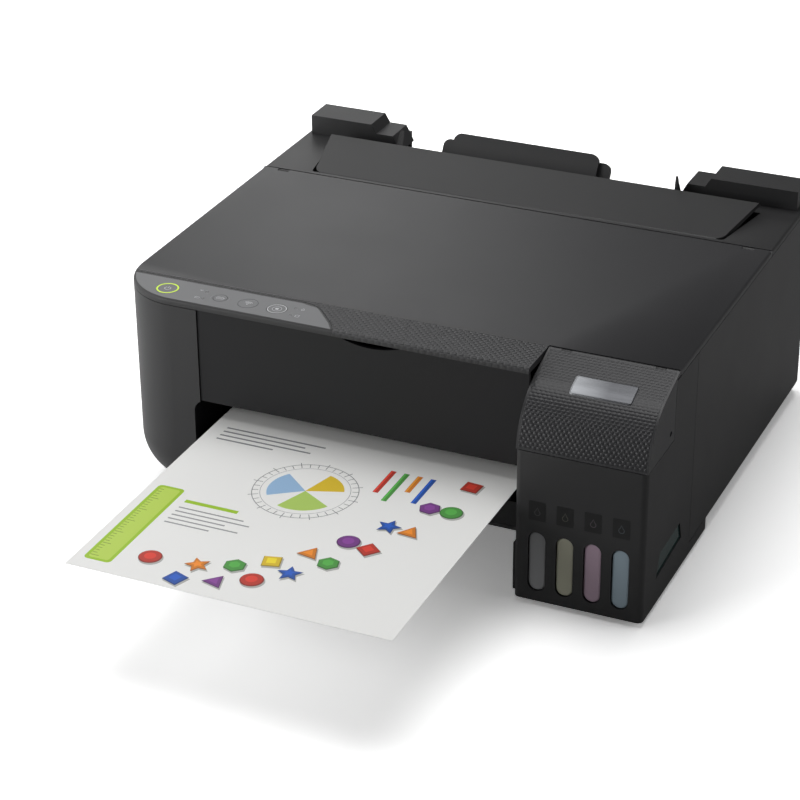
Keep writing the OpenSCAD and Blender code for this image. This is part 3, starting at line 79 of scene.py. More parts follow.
# the coarse noise of plastics and of metals: its scale, and how far it moves the roughness or shade
GRAIN_SCALE, GRAIN_ROUGHNESS = 22.0, 0.07
METAL_SCALE, METAL_CHANGE = 30.0, 0.25
# brushing draws the fine noise out along X
BRUSHING = (60, 2200, 2200)

# the floor's colour to the camera and to other rays, its glow near the printer and where more begins,
# and the limits of its sheen in gloss; the world's strength in gloss and as light
FLOOR_SEEN, FLOOR_OTHER = 1.75, 0.4
GLOW_NEAR, GLOW_FROM = 0.14, 0.7
SHEEN_EDGE, SHEEN_MOST = 0.2, 0.55
WORLD_GLOSS, WORLD_LIGHT = 0.07, 0.04


# ---------- camera and lamps ----------

def turned(right, up, back, place):
    """A 4 by 4 placing matrix from three unit axes and a place."""
    rows = [[right[i], up[i], back[i], place[i]] for i in range(3)] + [[0, 0, 0, 1]]
    return Matrix(rows)


def make_camera():
    """The scene's camera: a long lens with a shifted middle."""
    az, el, roll = (math.radians(a) for a in CAMERA_TURN)
    forward = np.array([-math.sin(az) * math.cos(el), math.cos(az) * math.cos(el), -math.sin(el)])
    level = np.array([math.cos(az), math.sin(az), 0])
    upright = np.cross(level, forward)
    right = math.cos(roll) * level + math.sin(roll) * upright
    up = np.cross(right, forward)
    data = bpy.data.cameras.new("camera")
    data.sensor_width = SENSOR_WIDTH
    data.lens = FOCAL_LENGTH
    data.shift_x, data.shift_y = LENS_SHIFT
    data.clip_end = 20
    camera = bpy.data.objects.new("camera", data)
    bpy.context.scene.collection.objects.link(camera)
    camera.matrix_world = turned(right, up, -forward, CAMERA_PLACE)
    bpy.context.scene.camera = camera


def soft_light(name, place, target, size, power):
    """A white rectangular lamp at place, turned to face target; sizes in metres and power in watts."""
    data = bpy.data.lights.new(name, "AREA")
    data.shape = "RECTANGLE"
    data.size, data.size_y = size
    data.energy = power
    lamp = bpy.data.objects.new(name, data)
    bpy.context.scene.collection.objects.link(lamp)
    away = np.array(place, float) - np.array(target, float)
    away /= np.linalg.norm(away)
    side = np.cross([0, 0, 1], away)
    side /= np.linalg.norm(side)
    lamp.matrix_world = turned(side, np.cross(away, side), away, place)


# ---------- node helpers ----------

def linear(code):
    """A colour written as six hex digits, as linear red, green, blue and 1."""
    parts = [int(code[i:i + 2], 16) / 255 for i in (1, 3, 5)]
    return tuple(c / 12.92 if c <= 0.04045 else ((c + 0.055) / 1.055) ** 2.4 for c in parts) + (1,)


def feed(tree, node, values):
    """Gives a node's inputs, by name or number, each a constant or a link from another socket."""
    for key, value in values.items():
        if isinstance(value, bpy.types.NodeSocket):
            tree.links.new(value, node.inputs[key])
        else:
            node.inputs[key].default_value = value


def put(tree, kind, values=None, **settings):
    """Adds a shader node with its settings, and feeds its inputs."""
    made = tree.nodes.new("ShaderNode" + kind)
    for key, value in settings.items():
        setattr(made, key, value)
    feed(tree, made, values or {})
    return made


def maths(tree, operation, *values, clamp=False):
    """One Math node on constants or sockets; gives its output."""
    return put(tree, "Math", dict(enumerate(values)), operation=operation, use_clamp=clamp).outputs[0]


def mix(tree, mask, first, second):
    """Colour mix by a mask; gives its output."""
    return put(tree, "Mix", {0: mask, 6: first, 7: second}, data_type="RGBA").outputs[2]


def own_place(tree):
    """The object's own x, y and z in metres, as three sockets."""
    return put(tree, "SeparateXYZ", {0: put(tree, "TexCoord").outputs["Object"]}).outputs


def effect(name, inputs, outputs, build):
    """A node group with named inputs, as (name, kind, value), and outputs, filled by build."""
    tree = bpy.data.node_groups.new(name, "ShaderNodeTree")
    kinds = {"value": "NodeSocketFloat", "colour": "NodeSocketColor", "vector": "NodeSocketVector"}
    for label, kind, value in inputs:
        socket = tree.interface.new_socket(label, in_out="INPUT", socket_type=kinds[kind])
        if value is not None:
            socket.default_value = value
    for label, kind in outputs:
        tree.interface.new_socket(label, in_out="OUTPUT", socket_type=kinds[kind])
    entry = tree.nodes.new("NodeGroupInput").outputs
    leave = tree.nodes.new("NodeGroupOutput").inputs
    for label, socket in build(tree, entry).items():
        tree.links.new(socket, leave[label])
    return tree


def build_grain(tree, entry):
    """Moulded grain: fine noise raises the surface, coarse noise varies colour and roughness."""
    where = put(tree, "TexCoord").outputs["Object"]
    fine = put(tree, "TexNoise", {"Vector": where, "Scale": entry["Fineness"], "Detail": 3.0}).outputs[0]
    broad = put(tree, "TexNoise", {"Vector": where, "Scale": GRAIN_SCALE, "Detail": 4.0}).outputs[0]
    centred = maths(tree, "SUBTRACT", broad, 0.5)
    shade = maths(tree, "MULTIPLY_ADD", centred, entry["Mottle"], 1.0)
    colour = put(tree, "VectorMath", {0: entry["Colour"], 1: shade}, operation="MULTIPLY").outputs[0]
    rough = maths(tree, "MULTIPLY_ADD", centred, GRAIN_ROUGHNESS, entry["Roughness"], clamp=True)
    bump = put(tree, "Bump", {"Height": fine, "Distance": entry["Depth"], "Strength": 1.0,
                              "Normal": entry["Normal"]}).outputs[0]
    return {"Colour": colour, "Roughness": rough, "Normal": bump}


def build_cells(tree, entry):
    """Staggered rows of low domes: x is split into cells that shift by half from row to row, and a
    cell's height is 1 - (2u)^4 - (2v)^2 of its own u and v, where rows run along the second axis."""
    across = maths(tree, "DIVIDE", entry["Across"], entry["Cell width"])
    along = maths(tree, "DIVIDE", entry["Along"], entry["Cell height"])
    row = maths(tree, "FLOOR", along)
    shift = maths(tree, "MULTIPLY", maths(tree, "FLOORED_MODULO", row, 2.0), 0.5)
    u = maths(tree, "SUBTRACT", maths(tree, "FRACT", maths(tree, "ADD", across, shift)), 0.5)
    v = maths(tree, "SUBTRACT", maths(tree, "FRACT", along), 0.5)
    steep = maths(tree, "POWER", maths(tree, "ABSOLUTE", maths(tree, "MULTIPLY", u, 2.0)), 4.0)
    round_v = maths(tree, "POWER", maths(tree, "ABSOLUTE", maths(tree, "MULTIPLY", v, 2.0)), 2.0)
    height = maths(tree, "SUBTRACT", maths(tree, "SUBTRACT", 1.0, steep), round_v, clamp=True)
    return {"Height": height}


def build_brushed(tree, entry):
    """Brushed metal: noise drawn out along X changes roughness and raises hair lines."""
    where = put(tree, "TexCoord").outputs["Object"]
    drawn = put(tree, "VectorMath", {0: where, 1: BRUSHING}, operation="MULTIPLY").outputs[0]
    hair = put(tree, "TexNoise", {"Vector": drawn, "Scale": 1.0, "Detail": 2.0}).outputs[0]
    broad = put(tree, "TexNoise", {"Vector": where, "Scale": METAL_SCALE, "Detail": 3.0}).outputs[0]
    hair_change, broad_change = (maths(tree, "SUBTRACT", noise, 0.5) for noise in (hair, broad))
    rough = maths(tree, "MULTIPLY_ADD", hair_change, METAL_CHANGE, entry["Roughness"], clamp=True)
    shade = maths(tree, "MULTIPLY_ADD", broad_change, METAL_CHANGE, 1.0)
    colour = put(tree, "VectorMath", {0: entry["Colour"], 1: shade}, operation="MULTIPLY").outputs[0]
    bump = put(tree, "Bump", {"Height": hair, "Distance": 0.00002, "Strength": 0.6}).outputs[0]
    return {"Colour": colour, "Roughness": rough, "Normal": bump}


grain = effect("moulded grain",
               [("Colour", "colour", None), ("Roughness", "value", 0.5), ("Fineness", "value", 1500.0),
                ("Depth", "value", 0.00003), ("Mottle", "value", 0.1), ("Normal", "vector", None)],
               [("Colour", "colour"), ("Roughness", "value"), ("Normal", "vector")], build_grain)
cells = effect("staggered cells",
               [("Across", "value", 0.0), ("Along", "value", 0.0),
                ("Cell width", "value", 0.003), ("Cell height", "value", 0.002)],
               [("Height", "value")], build_cells)
brushed = effect("brushed metal", [("Colour", "colour", None), ("Roughness", "value", 0.3)],
                 [("Colour", "colour"), ("Roughness", "value"), ("Normal", "vector")], build_brushed)


def in_box(tree, low, high):
    """A mask that is 1 where the object's own coordinates, in mm, lie between low and high; None is open."""
    parts = own_place(tree)
    mask = None
    for axis in range(3):
        for limit, operation in ((low[axis], "GREATER_THAN"), (high[axis], "LESS_THAN")):
            if limit is not None:
                inside = maths(tree, operation, parts[axis], limit * MM)
                mask = inside if mask is None else maths(tree, "MULTIPLY", mask, inside)
    return mask


def off_axis(tree, y, z, radius):
    """A mask that is 1 farther than radius, in mm, from the line along X at y and z."""
    parts = own_place(tree)
    dy = maths(tree, "SUBTRACT", parts[1], y * MM)
    dz = maths(tree, "SUBTRACT", parts[2], z * MM)
    squares = maths(tree, "ADD", maths(tree, "MULTIPLY", dy, dy), maths(tree, "MULTIPLY", dz, dz))
    return maths(tree, "GREATER_THAN", maths(tree, "SQRT", squares), radius * MM)


def blank(name):
    """A new node material; gives the material, its tree and its Principled BSDF."""
    made = bpy.data.materials.new(name)
    made.use_nodes = True
    return made, made.node_tree, made.node_tree.nodes["Principled BSDF"]


def plastic(name, colour, roughness=0.5, fineness=1500.0, depth=0.00003, mottle=0.1, zones=(), **sockets):
    """Moulded plastic, rubber, felt or paper. zones are (mask maker, colour) pairs laid over the base,
    and sockets are further inputs of the Principled BSDF, with _ for a space."""
    made, tree, shader = blank(name)
    base = linear(colour)
    for mask, over in zones:
        base = mix(tree, mask(tree), base, linear(over))
    skin = put(tree, "Group", {"Colour": base, "Roughness": roughness, "Fineness": fineness,
                               "Depth": depth, "Mottle": mottle}, node_tree=grain).outputs
    feed(tree, shader, {"Base Color": skin["Colour"], "Roughness": skin["Roughness"], "Normal": skin["Normal"]})
    feed(tree, shader, {label.replace("_", " "): value for label, value in sockets.items()})
    return made


def metal(name, colour, roughness=0.3, zones=(), sheen_fade=None):
    """Brushed or turned metal. zones are (mask maker, colour) pairs of plain plastic on it, and sheen_fade
    is (x0, x1, colour), a painted sheen: that colour left of x0, in mm, which turns into the base colour at x1."""
    made, tree, shader = blank(name)
    ground = linear(colour)
    if sheen_fade:
        x0, x1, sheen_colour = sheen_fade
        from_left = maths(tree, "SUBTRACT", own_place(tree)[0], x0 * MM)
        reach = maths(tree, "DIVIDE", from_left, (x1 - x0) * MM, clamp=True)
        ground = mix(tree, reach, linear(sheen_colour), ground)
    skin = put(tree, "Group", {"Colour": ground, "Roughness": roughness}, node_tree=brushed).outputs
    base, metallic, rough = skin["Colour"], 1.0, skin["Roughness"]
    for mask, over in zones:
        covered = mask(tree)
        base = mix(tree, covered, base, linear(over))
        metallic = maths(tree, "MULTIPLY", maths(tree, "SUBTRACT", 1.0, covered), metallic)
        rough = maths(tree, "MULTIPLY_ADD", covered, 0.25, rough, clamp=True)
    feed(tree, shader, {"Base Color": base, "Roughness": rough, "Metallic": metallic, "Normal": skin["Normal"]})
    return made


def relief_plastic(name, colour, roughness, cell, depth, axes=(0, 1), only=None):
    """Plastic with a moulded relief of staggered cells, each cell wide and high in mm and depth high in
    metres, over its grain; axes are the two that they run along, and only is the maker of a mask that
    keeps the relief to one part of the piece."""
    made = plastic(name, colour, roughness, 2600.0, 0.00002, 0.08)
    tree = made.node_tree
    parts = own_place(tree)
    level = put(tree, "Group", {"Across": parts[axes[0]], "Along": parts[axes[1]],
                                "Cell width": cell[0] * MM, "Cell height": cell[1] * MM},
                node_tree=cells).outputs[0]
    if only:
        level = maths(tree, "MULTIPLY", level, only(tree))
    raised = put(tree, "Bump", {"Height": level, "Distance": depth, "Strength": 1.0}).outputs[0]
    skin = next(n for n in tree.nodes if n.type == "GROUP" and n.node_tree == grain)
    tree.links.new(raised, skin.inputs["Normal"])
    return made


def painted(name, roughness=0.5, glow=0.0):
    """A print whose colour, and glow, comes from the mesh's own paint attribute."""
    made, tree, shader = blank(name)
    paint = put(tree, "Attribute", attribute_name="paint", attribute_type="GEOMETRY").outputs["Color"]
    feed(tree, shader, {"Base Color": paint, "Roughness": roughness})
    if glow:
        feed(tree, shader, {"Emission Color": paint, "Emission Strength": glow})
    return made


def dress(material, *names):
    """Gives CAD nodes a material, and shades their round faces smooth by welding and splitting at edges."""
    for name in names:
        node = nodes[name]
        node.data.materials.clear()
        node.data.materials.append(material)
        node.data.polygons.foreach_set("use_smooth", np.ones(len(node.data.polygons), bool))
        weld = node.modifiers.new("weld", "WELD")
        weld.merge_threshold = WELD_DISTANCE
        split = node.modifiers.new("edges", "EDGE_SPLIT")
        split.split_angle = math.radians(SHARP_ANGLE)


# ---------- mesh helpers ----------

def plate(outline, low, high):
    """A flat plate: the outline, as points in u and v, at two heights, with a wall between them."""
    flat = np.asarray(outline, float)
    n = len(flat)
    verts = np.vstack([np.c_[flat, np.full(n, low)], np.c_[flat, np.full(n, high)]])
    area = np.sum(flat[:, 0] * np.roll(flat[:, 1], -1) - np.roll(flat[:, 0], -1) * flat[:, 1])
    order = np.arange(n) if area > 0 else np.arange(n)[::-1]
    after = np.roll(order, -1)
    walls = [tuple(q) for q in np.c_[order, after, after + n, order + n].tolist()]
    return verts, [tuple((order + n).tolist()), tuple(order[::-1].tolist())] + walls


def ribbon(points, width, low, high, closed=False):
    """A stroke: at each point of a path, a rectangle width wide from low to high, joined to the next."""
    path = np.asarray(points, float)
    if closed:
        ahead, behind = np.roll(path, -1, 0), np.roll(path, 1, 0)
    else:
        ahead, behind = np.vstack([path[1:], path[-1:]]), np.vstack([path[:1], path[:-1]])
    along = ahead - behind
    along /= np.linalg.norm(along, axis=1)[:, None]
    side = np.c_[-along[:, 1], along[:, 0]] * width / 2
    n = len(path)
    edges = ((path + side, low), (path - side, low), (path - side, high), (path + side, high))
    verts = np.vstack([np.c_[edge, np.full(n, height)] for edge, height in edges])
    i = np.arange(n if closed else n - 1)
    j = (i + 1) % n
    faces = []
    for a, b in ((0, 1), (1, 2), (2, 3), (3, 0)):
        faces += [tuple(q) for q in np.c_[i + a * n, i + b * n, j + b * n, j + a * n].tolist()]
    if not closed:
        faces += [(0, 3 * n, 2 * n, n), (n - 1, 2 * n - 1, 3 * n - 1, 4 * n - 1)]
    return verts, faces


def arc(centre, radius, start=0.0, end=360.0, count=48):
    """Points round a circle, from start to end in degrees; a full turn doesn't repeat its first point."""
    turn = np.radians(np.linspace(start, end, count, endpoint=abs(end - start) < 359.9))
    return np.c_[centre[0] + radius * np.cos(turn), centre[1] + radius * np.sin(turn)]


def ring(centre, inner, outer, low, high):
    """A flat ring, as a closed ribbon along its middle circle."""
    return ribbon(arc(centre, (inner + outer) / 2, count=64), outer - inner, low, high, closed=True)


def rounded(low, high, radius):
    """A rectangle with round corners, as points."""
    (x0, y0), (x1, y1) = low, high
    corners = [((x1 - radius, y1 - radius), 0), ((x0 + radius, y1 - radius), 90),
               ((x0 + radius, y0 + radius), 180), ((x1 - radius, y0 + radius), 270)]
    turn = np.radians(np.linspace(0, 90, 7))
    return np.vstack([np.c_[c[0] + radius * np.cos(turn + math.radians(a)),
                            c[1] + radius * np.sin(turn + math.radians(a))] for c, a in corners])


def star(centre, outer, inner, points, turn=0.0):
    """A star outline: the radius goes back and forth between outer and inner."""
    angle = np.radians(turn + np.arange(2 * points) * 180 / points)
    radius = np.where(np.arange(2 * points) % 2 == 0, outer, inner)
    return np.c_[centre[0] + radius * np.cos(angle), centre[1] + radius * np.sin(angle)]


def polygon(centre, radius, sides, turn=0.0):
    """A regular polygon's corners."""
    angle = np.radians(turn + np.arange(sides) * 360 / sides)
    return np.c_[centre[0] + radius * np.cos(angle), centre[1] + radius * np.sin(angle)]


def net(n, m, around=False):
    """Faces of a net of n rows of m points; around joins each row's last point to its first."""
    grid = np.meshgrid(np.arange(n - 1), np.arange(m if around else m - 1), indexing="ij")
    i, j = (index.ravel() for index in grid)
    k = (j + 1) % m
    return [tuple(q) for q in np.c_[i * m + j, i * m + k, (i + 1) * m + k, (i + 1) * m + j].tolist()]


def piece(name, shapes, body, material, place=None, colours=None, smooth=False):
    """One object from shapes, each (points in mm, faces). place maps the joined points to X, Y and Z in mm;
    colours gives each shape its paint."""
    verts, faces, first = [], [], 0
    for points, some in shapes:
        verts.append(points)
        faces += [tuple(first + i for i in face) for face in some]
        first += len(points)
    points = np.vstack(verts)
    if place:
        points = place(points)
    mesh = bpy.data.meshes.new(name)
    mesh.from_pydata((points * MM).tolist(), [], faces)
    if colours:
        layer = mesh.color_attributes.new("paint", "FLOAT_COLOR", "CORNER")
        corners = [sum(len(face) for face in some) for _, some in shapes]
        values = np.repeat([linear(c) for c in colours], corners, axis=0)
        layer.data.foreach_set("color", values.astype(np.float32).ravel())
    if smooth:
        mesh.polygons.foreach_set("use_smooth", np.ones(len(mesh.polygons), bool))
    mesh.materials.append(material)
    mesh.validate()
    made = bpy.data.objects.new(name, mesh)
    bpy.context.scene.collection.objects.link(made)
    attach(made, body)
    return made


# ---------- sizes shared with the CAD ----------

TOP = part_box("control_overlay")[1].z / MM
TANK_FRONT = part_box("tank_case")[0].y / MM
SHEET_LOW, SHEET_HIGH = (np.array(c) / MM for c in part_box("printed_sheet"))
LID_LEFT, LID_RIGHT = (c.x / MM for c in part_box("tank_cover"))
# middles of the buttons, of the indicator windows in x and y, and of the tank windows
BUTTON_Y = -137.5
POWER_X, INFO_X, WIFI_X, STOP_X = -152.2, -114.2, -94.4, -73.9
LENSES = [(-126.3, -132.6), (-124.1, -142.2), (-63.2, -132.1), (-62.2, -141.9)]
WINDOW_X = 118.1 + 18.1 * np.arange(4)
# the tank cover's outline in y and z: a slope down from SLOPE_TOP that meets a roll of this radius
ROLL_RADIUS = 42.0
ROLL_Y, ROLL_Z = TANK_FRONT + ROLL_RADIUS, 104.0
SLOPE_TOP = np.array([-119.6, 152.0])


def lid_surface(points):
    """Maps (x, s, h) to the tank cover: s runs down its outline from the hinge line, first along the
    straight slope, then round the roll, and h is the height above the surface."""
    reach = SLOPE_TOP - np.array([ROLL_Y, ROLL_Z])
    dist = np.hypot(*reach)
    touch = math.atan2(reach[1], reach[0]) + math.acos(ROLL_RADIUS / dist)
    straight = math.sqrt(dist ** 2 - ROLL_RADIUS ** 2)
    out = np.array([math.cos(touch), math.sin(touch)])
    down = np.array([-out[1], out[0]])
    x, s, h = points.T
    turn = touch + np.maximum(s - straight, 0) / ROLL_RADIUS
    on_slope = SLOPE_TOP + down * s[:, None] + out * h[:, None]
    facing = np.c_[np.cos(turn), np.sin(turn)]
    on_roll = np.array([ROLL_Y, ROLL_Z]) + facing * (ROLL_RADIUS + h)[:, None]
    both = np.where((s < straight)[:, None], on_slope, on_roll)
    return np.c_[x, both]


def on_top(points):
    """Maps (x, y, h) to the level of the control panel."""
    return points + [0, 0, TOP]


def on_tank_front(points):
    """Maps (x, z, h) to the tank unit's front, h standing out to the front."""
    return np.c_[points[:, 0], TANK_FRONT - points[:, 2], points[:, 1]]


def on_sheet(points):
    """Maps (u, v, h), from the sheet's front left corner, to its upper face."""
    return points + [SHEET_LOW[0], SHEET_LOW[1], SHEET_HIGH[2]]


# ---------- finishes of the CAD nodes ----------

# zones colour a part of a node that is of another stuff: a plug's shell, chips, a seal, a sleeve, a gear
case_black = plastic("case black", "#29292a", 0.48, 1400.0, 0.00004, 0.12)
panel_black = plastic("panel black", "#19191b", 0.5, 1100.0, 0.00003, 0.1, Specular_IOR_Level=0.3)
support_black = plastic("support black", "#222223", 0.45, 1500.0, 0.00003, 0.1)
inner_black = plastic("inner black", "#19191a", 0.6, 1200.0, 0.00003, 0.15)
# the top cover's front strip, ahead of the tank cover's hinge line, has a fine woven relief
cover_black = relief_plastic("cover black", "#2b2b2d", 0.42, (4.4, 2.2), 0.00028,
                             only=lambda t: in_box(t, (None, None, None), (None, -119.0, None)))
tank_front = relief_plastic("tank unit black", "#282829", 0.5, (6.0, 1.4), 0.00001, axes=(0, 2))

dress(case_black, "outer_case", "control_deck", "rear_feeder")
dress(inner_black, "base_case", "platen", "star_wheel_holder", "pinch_holder", "carriage", "output_tray",
      "tray_extension")
dress(panel_black, "front_panel")
dress(support_black, "feeder_guard", "paper_support", "support_extension", "edge_guide")
dress(cover_black, "printer_cover")
dress(tank_front, "tank_case")
dress(plastic("tank cover black", "#2b2b2d", 0.42, 2000.0, 0.00002, 0.1), "tank_cover")
dress(plastic("panel film", "#666769", 0.38, 3000.0, 0.000006, 0.05), "control_overlay", "power_button",
      "info_button", "wifi_button", "stop_button")
dress(plastic("clear lens", "#1d1f21", 0.15, 900.0, 0.000004, 0.05), "indicator_lenses")
dress(plastic("foot rubber", "#151515", 0.8, 900.0, 0.0001, 0.2), "rubber_feet")
dress(plastic("socket black", "#151515", 0.35, 1200.0, 0.00001, 0.1,
              zones=[(lambda t: in_box(t, (-172, None, 63.5), (-157.5, None, 76.5)), "#a9abad")]),
      "rear_sockets")
dress(plastic("supply case", "#8f9090", 0.5, 700.0, 0.00004, 0.15), "power_supply")
dress(plastic("circuit board", "#17462a", 0.35, 500.0, 0.00003, 0.25,
              zones=[(lambda t: in_box(t, (-173.9, None, None), (-160, None, None)), "#1b1b1c")]),
      "main_board")
dress(plastic("button board", "#17462a", 0.35, 500.0, 0.00003, 0.25,
              zones=[(lambda t: in_box(t, (None, None, 140.7), (None, None, None)), "#1b1b1c")]),
      "control_board")
dress(plastic("absorbent felt", "#cfcdc4", 0.9, 600.0, 0.0003, 0.3), "ink_pad")
dress(plastic("clear film", "#8f8f84", 0.2, 300.0, 0.00001, 0.1), "encoder_strip")
dress(plastic("belt rubber", "#181818", 0.65, 1800.0, 0.00004, 0.2), "drive_belt")
dress(plastic("head grey", "#3d3f42", 0.45, 1200.0, 0.00002, 0.1), "print_head", "pinch_rollers")
dress(plastic("pulley white", "#cfcfcb", 0.4, 900.0, 0.00001, 0.08), "idler_pulley")
dress(plastic("gear white", "#dad6cb", 0.4, 900.0, 0.00001, 0.08), "idler_gear")
dress(plastic("seal grey", "#45474b", 0.65, 900.0, 0.00005, 0.2,
              zones=[(lambda t: in_box(t, (None, None, 69.8), (None, None, None)), "#1c1c1d")]),
      "capping_unit")
dress(metal("sheet steel", "#9aa0a4", 0.35), "main_frame")
dress(metal("ground steel", "#c8ccd0", 0.15), "guide_rail", "star_wheels")
dress(metal("motor steel", "#868a8e", 0.3), "carriage_motor", "paper_motor")
dress(metal("turned brass", "#a8892f", 0.3), "motor_pulley", "motor_pinion")
dress(metal("screw steel", "#6c7074", 0.35), "case_screws")
# steel shafts with a rubber sleeve outside the shaft's radius, and a white gear at the left end of two
SHAFT_RADIUS = 3.05
for roller, shaft_y, shaft_z, sleeve, geared in (("feed_roller", -10, 65.75, "#222223", True),
                                                 ("exit_roller", -104, 65.75, "#222223", True),
                                                 ("pickup_roller", 90, 98, "#505356", False)):
    zones = [(lambda t, y=shaft_y, z=shaft_z: off_axis(t, y, z, SHAFT_RADIUS), sleeve)]
    if geared:
        zones.append((lambda t: in_box(t, (None, None, None), (-149.9, None, None)), "#dad6cb"))
    dress(metal(roller.split("_")[0] + " shaft", "#b9bcc0", 0.25, zones), roller)

INKS = ("black", "yellow", "magenta", "cyan")
for ink, shade, cap in zip(INKS, ("#5e6063", "#75746a", "#74666f", "#677480"),
                           ("#262627", "#b8a62a", "#9c3a6c", "#2b7fa6")):
    dress(plastic(ink + " tank", shade, 0.4, 500.0, 0.00002, 0.2, Coat_Weight=0.3), ink + "_tank")
    dress(plastic(ink + " cap", cap, 0.6, 1200.0, 0.00003, 0.1), ink + "_cap")

dress(plastic("supply tubes", "#3b3b3d", 0.35, 800.0, 0.00001, 0.1), "ink_tubes")
dress(plastic("paper", "#fafaf8", 0.6, 900.0, 0.00002, 0.02), "printed_sheet")


# ---------- relief of the tank cover ----------

SCALE_WIDE, SCALE_HIGH = 3.1, 2.3
SUNK = -0.3


def lid_relief():
    """Scales on the tank cover: staggered cells down its outline, each a dome 1 - |2u|^2.4 - |2v|^2.4 of
    its own u and v, with low ground between them. The domes are 0.08 mm high on the slope and grow to
    0.3 mm on the roll; the net's rim is sunk into the cover."""
    left_margin, right_margin, first_s, last_s, step_x, step_s = 1.2, 1.0, 1.2, 74.0, 0.34, 0.3
    x = np.arange(LID_LEFT + left_margin, LID_RIGHT - right_margin, step_x)
    s = np.arange(first_s, last_s, step_s)
    gx, gs = np.meshgrid(x, s, indexing="ij")
    row = np.floor(gs / SCALE_HIGH)
    u = np.mod(gx / SCALE_WIDE + 0.5 * np.mod(row, 2), 1) - 0.5
    v = np.mod(gs / SCALE_HIGH, 1) - 0.5
    dome = 1 - np.abs(2 * u) ** 2.4 - np.abs(2 * v) ** 2.4
    on_slope, on_roll, grow_from, grow_over = 0.08, 0.3, 30, 22
    peak = on_slope + (on_roll - on_slope) * np.clip((gs - grow_from) / grow_over, 0, 1)
    h = peak * np.clip(dome, -0.3, 1)
    h[0, :] = h[-1, :] = h[:, 0] = h[:, -1] = SUNK
    return np.c_[gx.ravel(), gs.ravel(), h.ravel()], net(*gx.shape)


lid_black = plastic("tank cover scales", "#353537", 0.3, 2400.0, 0.000012, 0.06, Specular_IOR_Level=0.3)
piece("tank_cover_relief", [lid_relief()], "tank_cover", lid_black, lid_surface,
      smooth=True)

# the plate on the tank cover: its middle, half its width and length, and how its height rises at the rim
PLATE_X, PLATE_S, PLATE_HALF_W, PLATE_HALF_L = 148.5, 27.2, 20.3, 8.0
PLATE_BASE, PLATE_RISE, PLATE_RIM = 0.2, 0.45, 0.35
CORNER_REACH, CORNER_PULL = 2, 0.6


def badge():
    """A bare plate on the slope: a rounded rectangle as a net in (x, s), 0.65 mm high with a soft rim."""
    gu, gv = np.meshgrid(np.linspace(-1, 1, 61), np.linspace(-1, 1, 31), indexing="ij")
    from_side, from_end = PLATE_HALF_W * (1 - np.abs(gu)), PLATE_HALF_L * (1 - np.abs(gv))
    h = PLATE_BASE + PLATE_RISE * (1 - np.exp(-np.minimum(from_side, from_end) / PLATE_RIM))
    h[0, :] = h[-1, :] = h[:, 0] = h[:, -1] = -0.1
    # the corners are pulled in to round them
    corner = np.clip(1 - from_side / CORNER_REACH, 0, 1) * np.clip(1 - from_end / CORNER_REACH, 0, 1)
    x = PLATE_X + gu * PLATE_HALF_W - np.sign(gu) * CORNER_PULL * corner
    s = PLATE_S + gv * PLATE_HALF_L - np.sign(gv) * CORNER_PULL * corner
    return np.c_[x.ravel(), s.ravel(), h.ravel()], net(*gu.shape)


# painted sheen: the plate is coloured lighter on the left, where the light falls, and darker towards the right
badge_silver = metal("badge silver", "#5a5b5e", 0.4, sheen_fade=(128.0, 152.0, "#8a8c8f"))
piece("tank_cover_plate", [badge()], "tank_cover", badge_silver, lid_surface, smooth=True)


# ---------- marks on the control panel ----------

MARK, DIM_MARK, BRIGHT_MARK = "#c6c7ca", "#8e9093", "#d0d1d3"
# a print starts a little under the surface and stands a little over it
PRINT = (-0.02, 0.04)
print_white = painted("panel print", 0.5)
glow_green = painted("power ring light", 0.4, glow=0.55)


def stroke(points, width=0.35, closed=False):
    """A printed line on the control panel."""
    return ribbon(points, width, *PRINT, closed)


def marks(name, shapes, body, colour=MARK, material=print_white):
    """A set of printed lines on the control panel or a button."""
    piece(name, shapes, body, material, on_top, [colour] * len(shapes))


def drop(centre, size):
    """A drop's outline: a circle below, drawn to a point above."""
    turn = np.radians(np.linspace(-235, 55, 20))
    loop = np.c_[np.cos(turn), np.sin(turn)] * size * 0.55
    return np.vstack([loop + [0, -size * 0.25], [[0, size * 0.9]]]) + centre


def page(centre, half_w, half_h, radius):
    """A printed frame with round corners, round a centre."""
    half = np.array((half_w, half_h))
    return stroke(rounded(centre - half, centre + half, radius), 0.3, True)


power, info, wifi, stop = ((x, BUTTON_Y) for x in (POWER_X, INFO_X, WIFI_X, STOP_X))
marks("power_ring", [ring(power, 6.35, 7.35, -0.02, 0.08)], "power_button", "#b9d631", glow_green)
marks("power_mark", [stroke(arc(power, 2.0, 125, 415, 30), 0.45),
                     stroke([(POWER_X, BUTTON_Y + 0.5), (POWER_X, BUTTON_Y + 2.5)], 0.45)], "power_button")
marks("info_mark", [page(info, 2.4, 1.2, 0.6),
                    stroke([(INFO_X - 1.4, BUTTON_Y), (INFO_X + 1.4, BUTTON_Y)], 0.3)], "info_button")
marks("info_brackets", [stroke([(INFO_X + s * 5.6, BUTTON_Y - 2.2), (INFO_X + s * 6.0, BUTTON_Y - 1.6),
                                (INFO_X + s * 6.0, BUTTON_Y + 1.6)], 0.25) for s in (-1, 1)], "case", DIM_MARK)
fan = (WIFI_X, BUTTON_Y - 1.5)
marks("wireless_mark", [stroke(arc(fan, r, 45, 135, 14), 0.4) for r in (1.5, 2.6, 3.7)]
      + [plate(arc(fan, 0.5, count=14), *PRINT)], "wifi_button")
marks("wireless_ring", [ring(wifi, 5.9, 6.1, *PRINT)], "wifi_button", DIM_MARK)
marks("stop_mark", [ring(stop, 2.9, 3.2, *PRINT), plate(polygon(stop, 1.5, 4, 45), *PRINT)], "stop_button")
marks("stop_ring", [ring(stop, 5.75, 6.25, -0.02, 0.05)], "stop_button", BRIGHT_MARK)
left, low_left, right, low_right = LENSES
fan = (left[0] - 4.2, left[1] - 0.2)
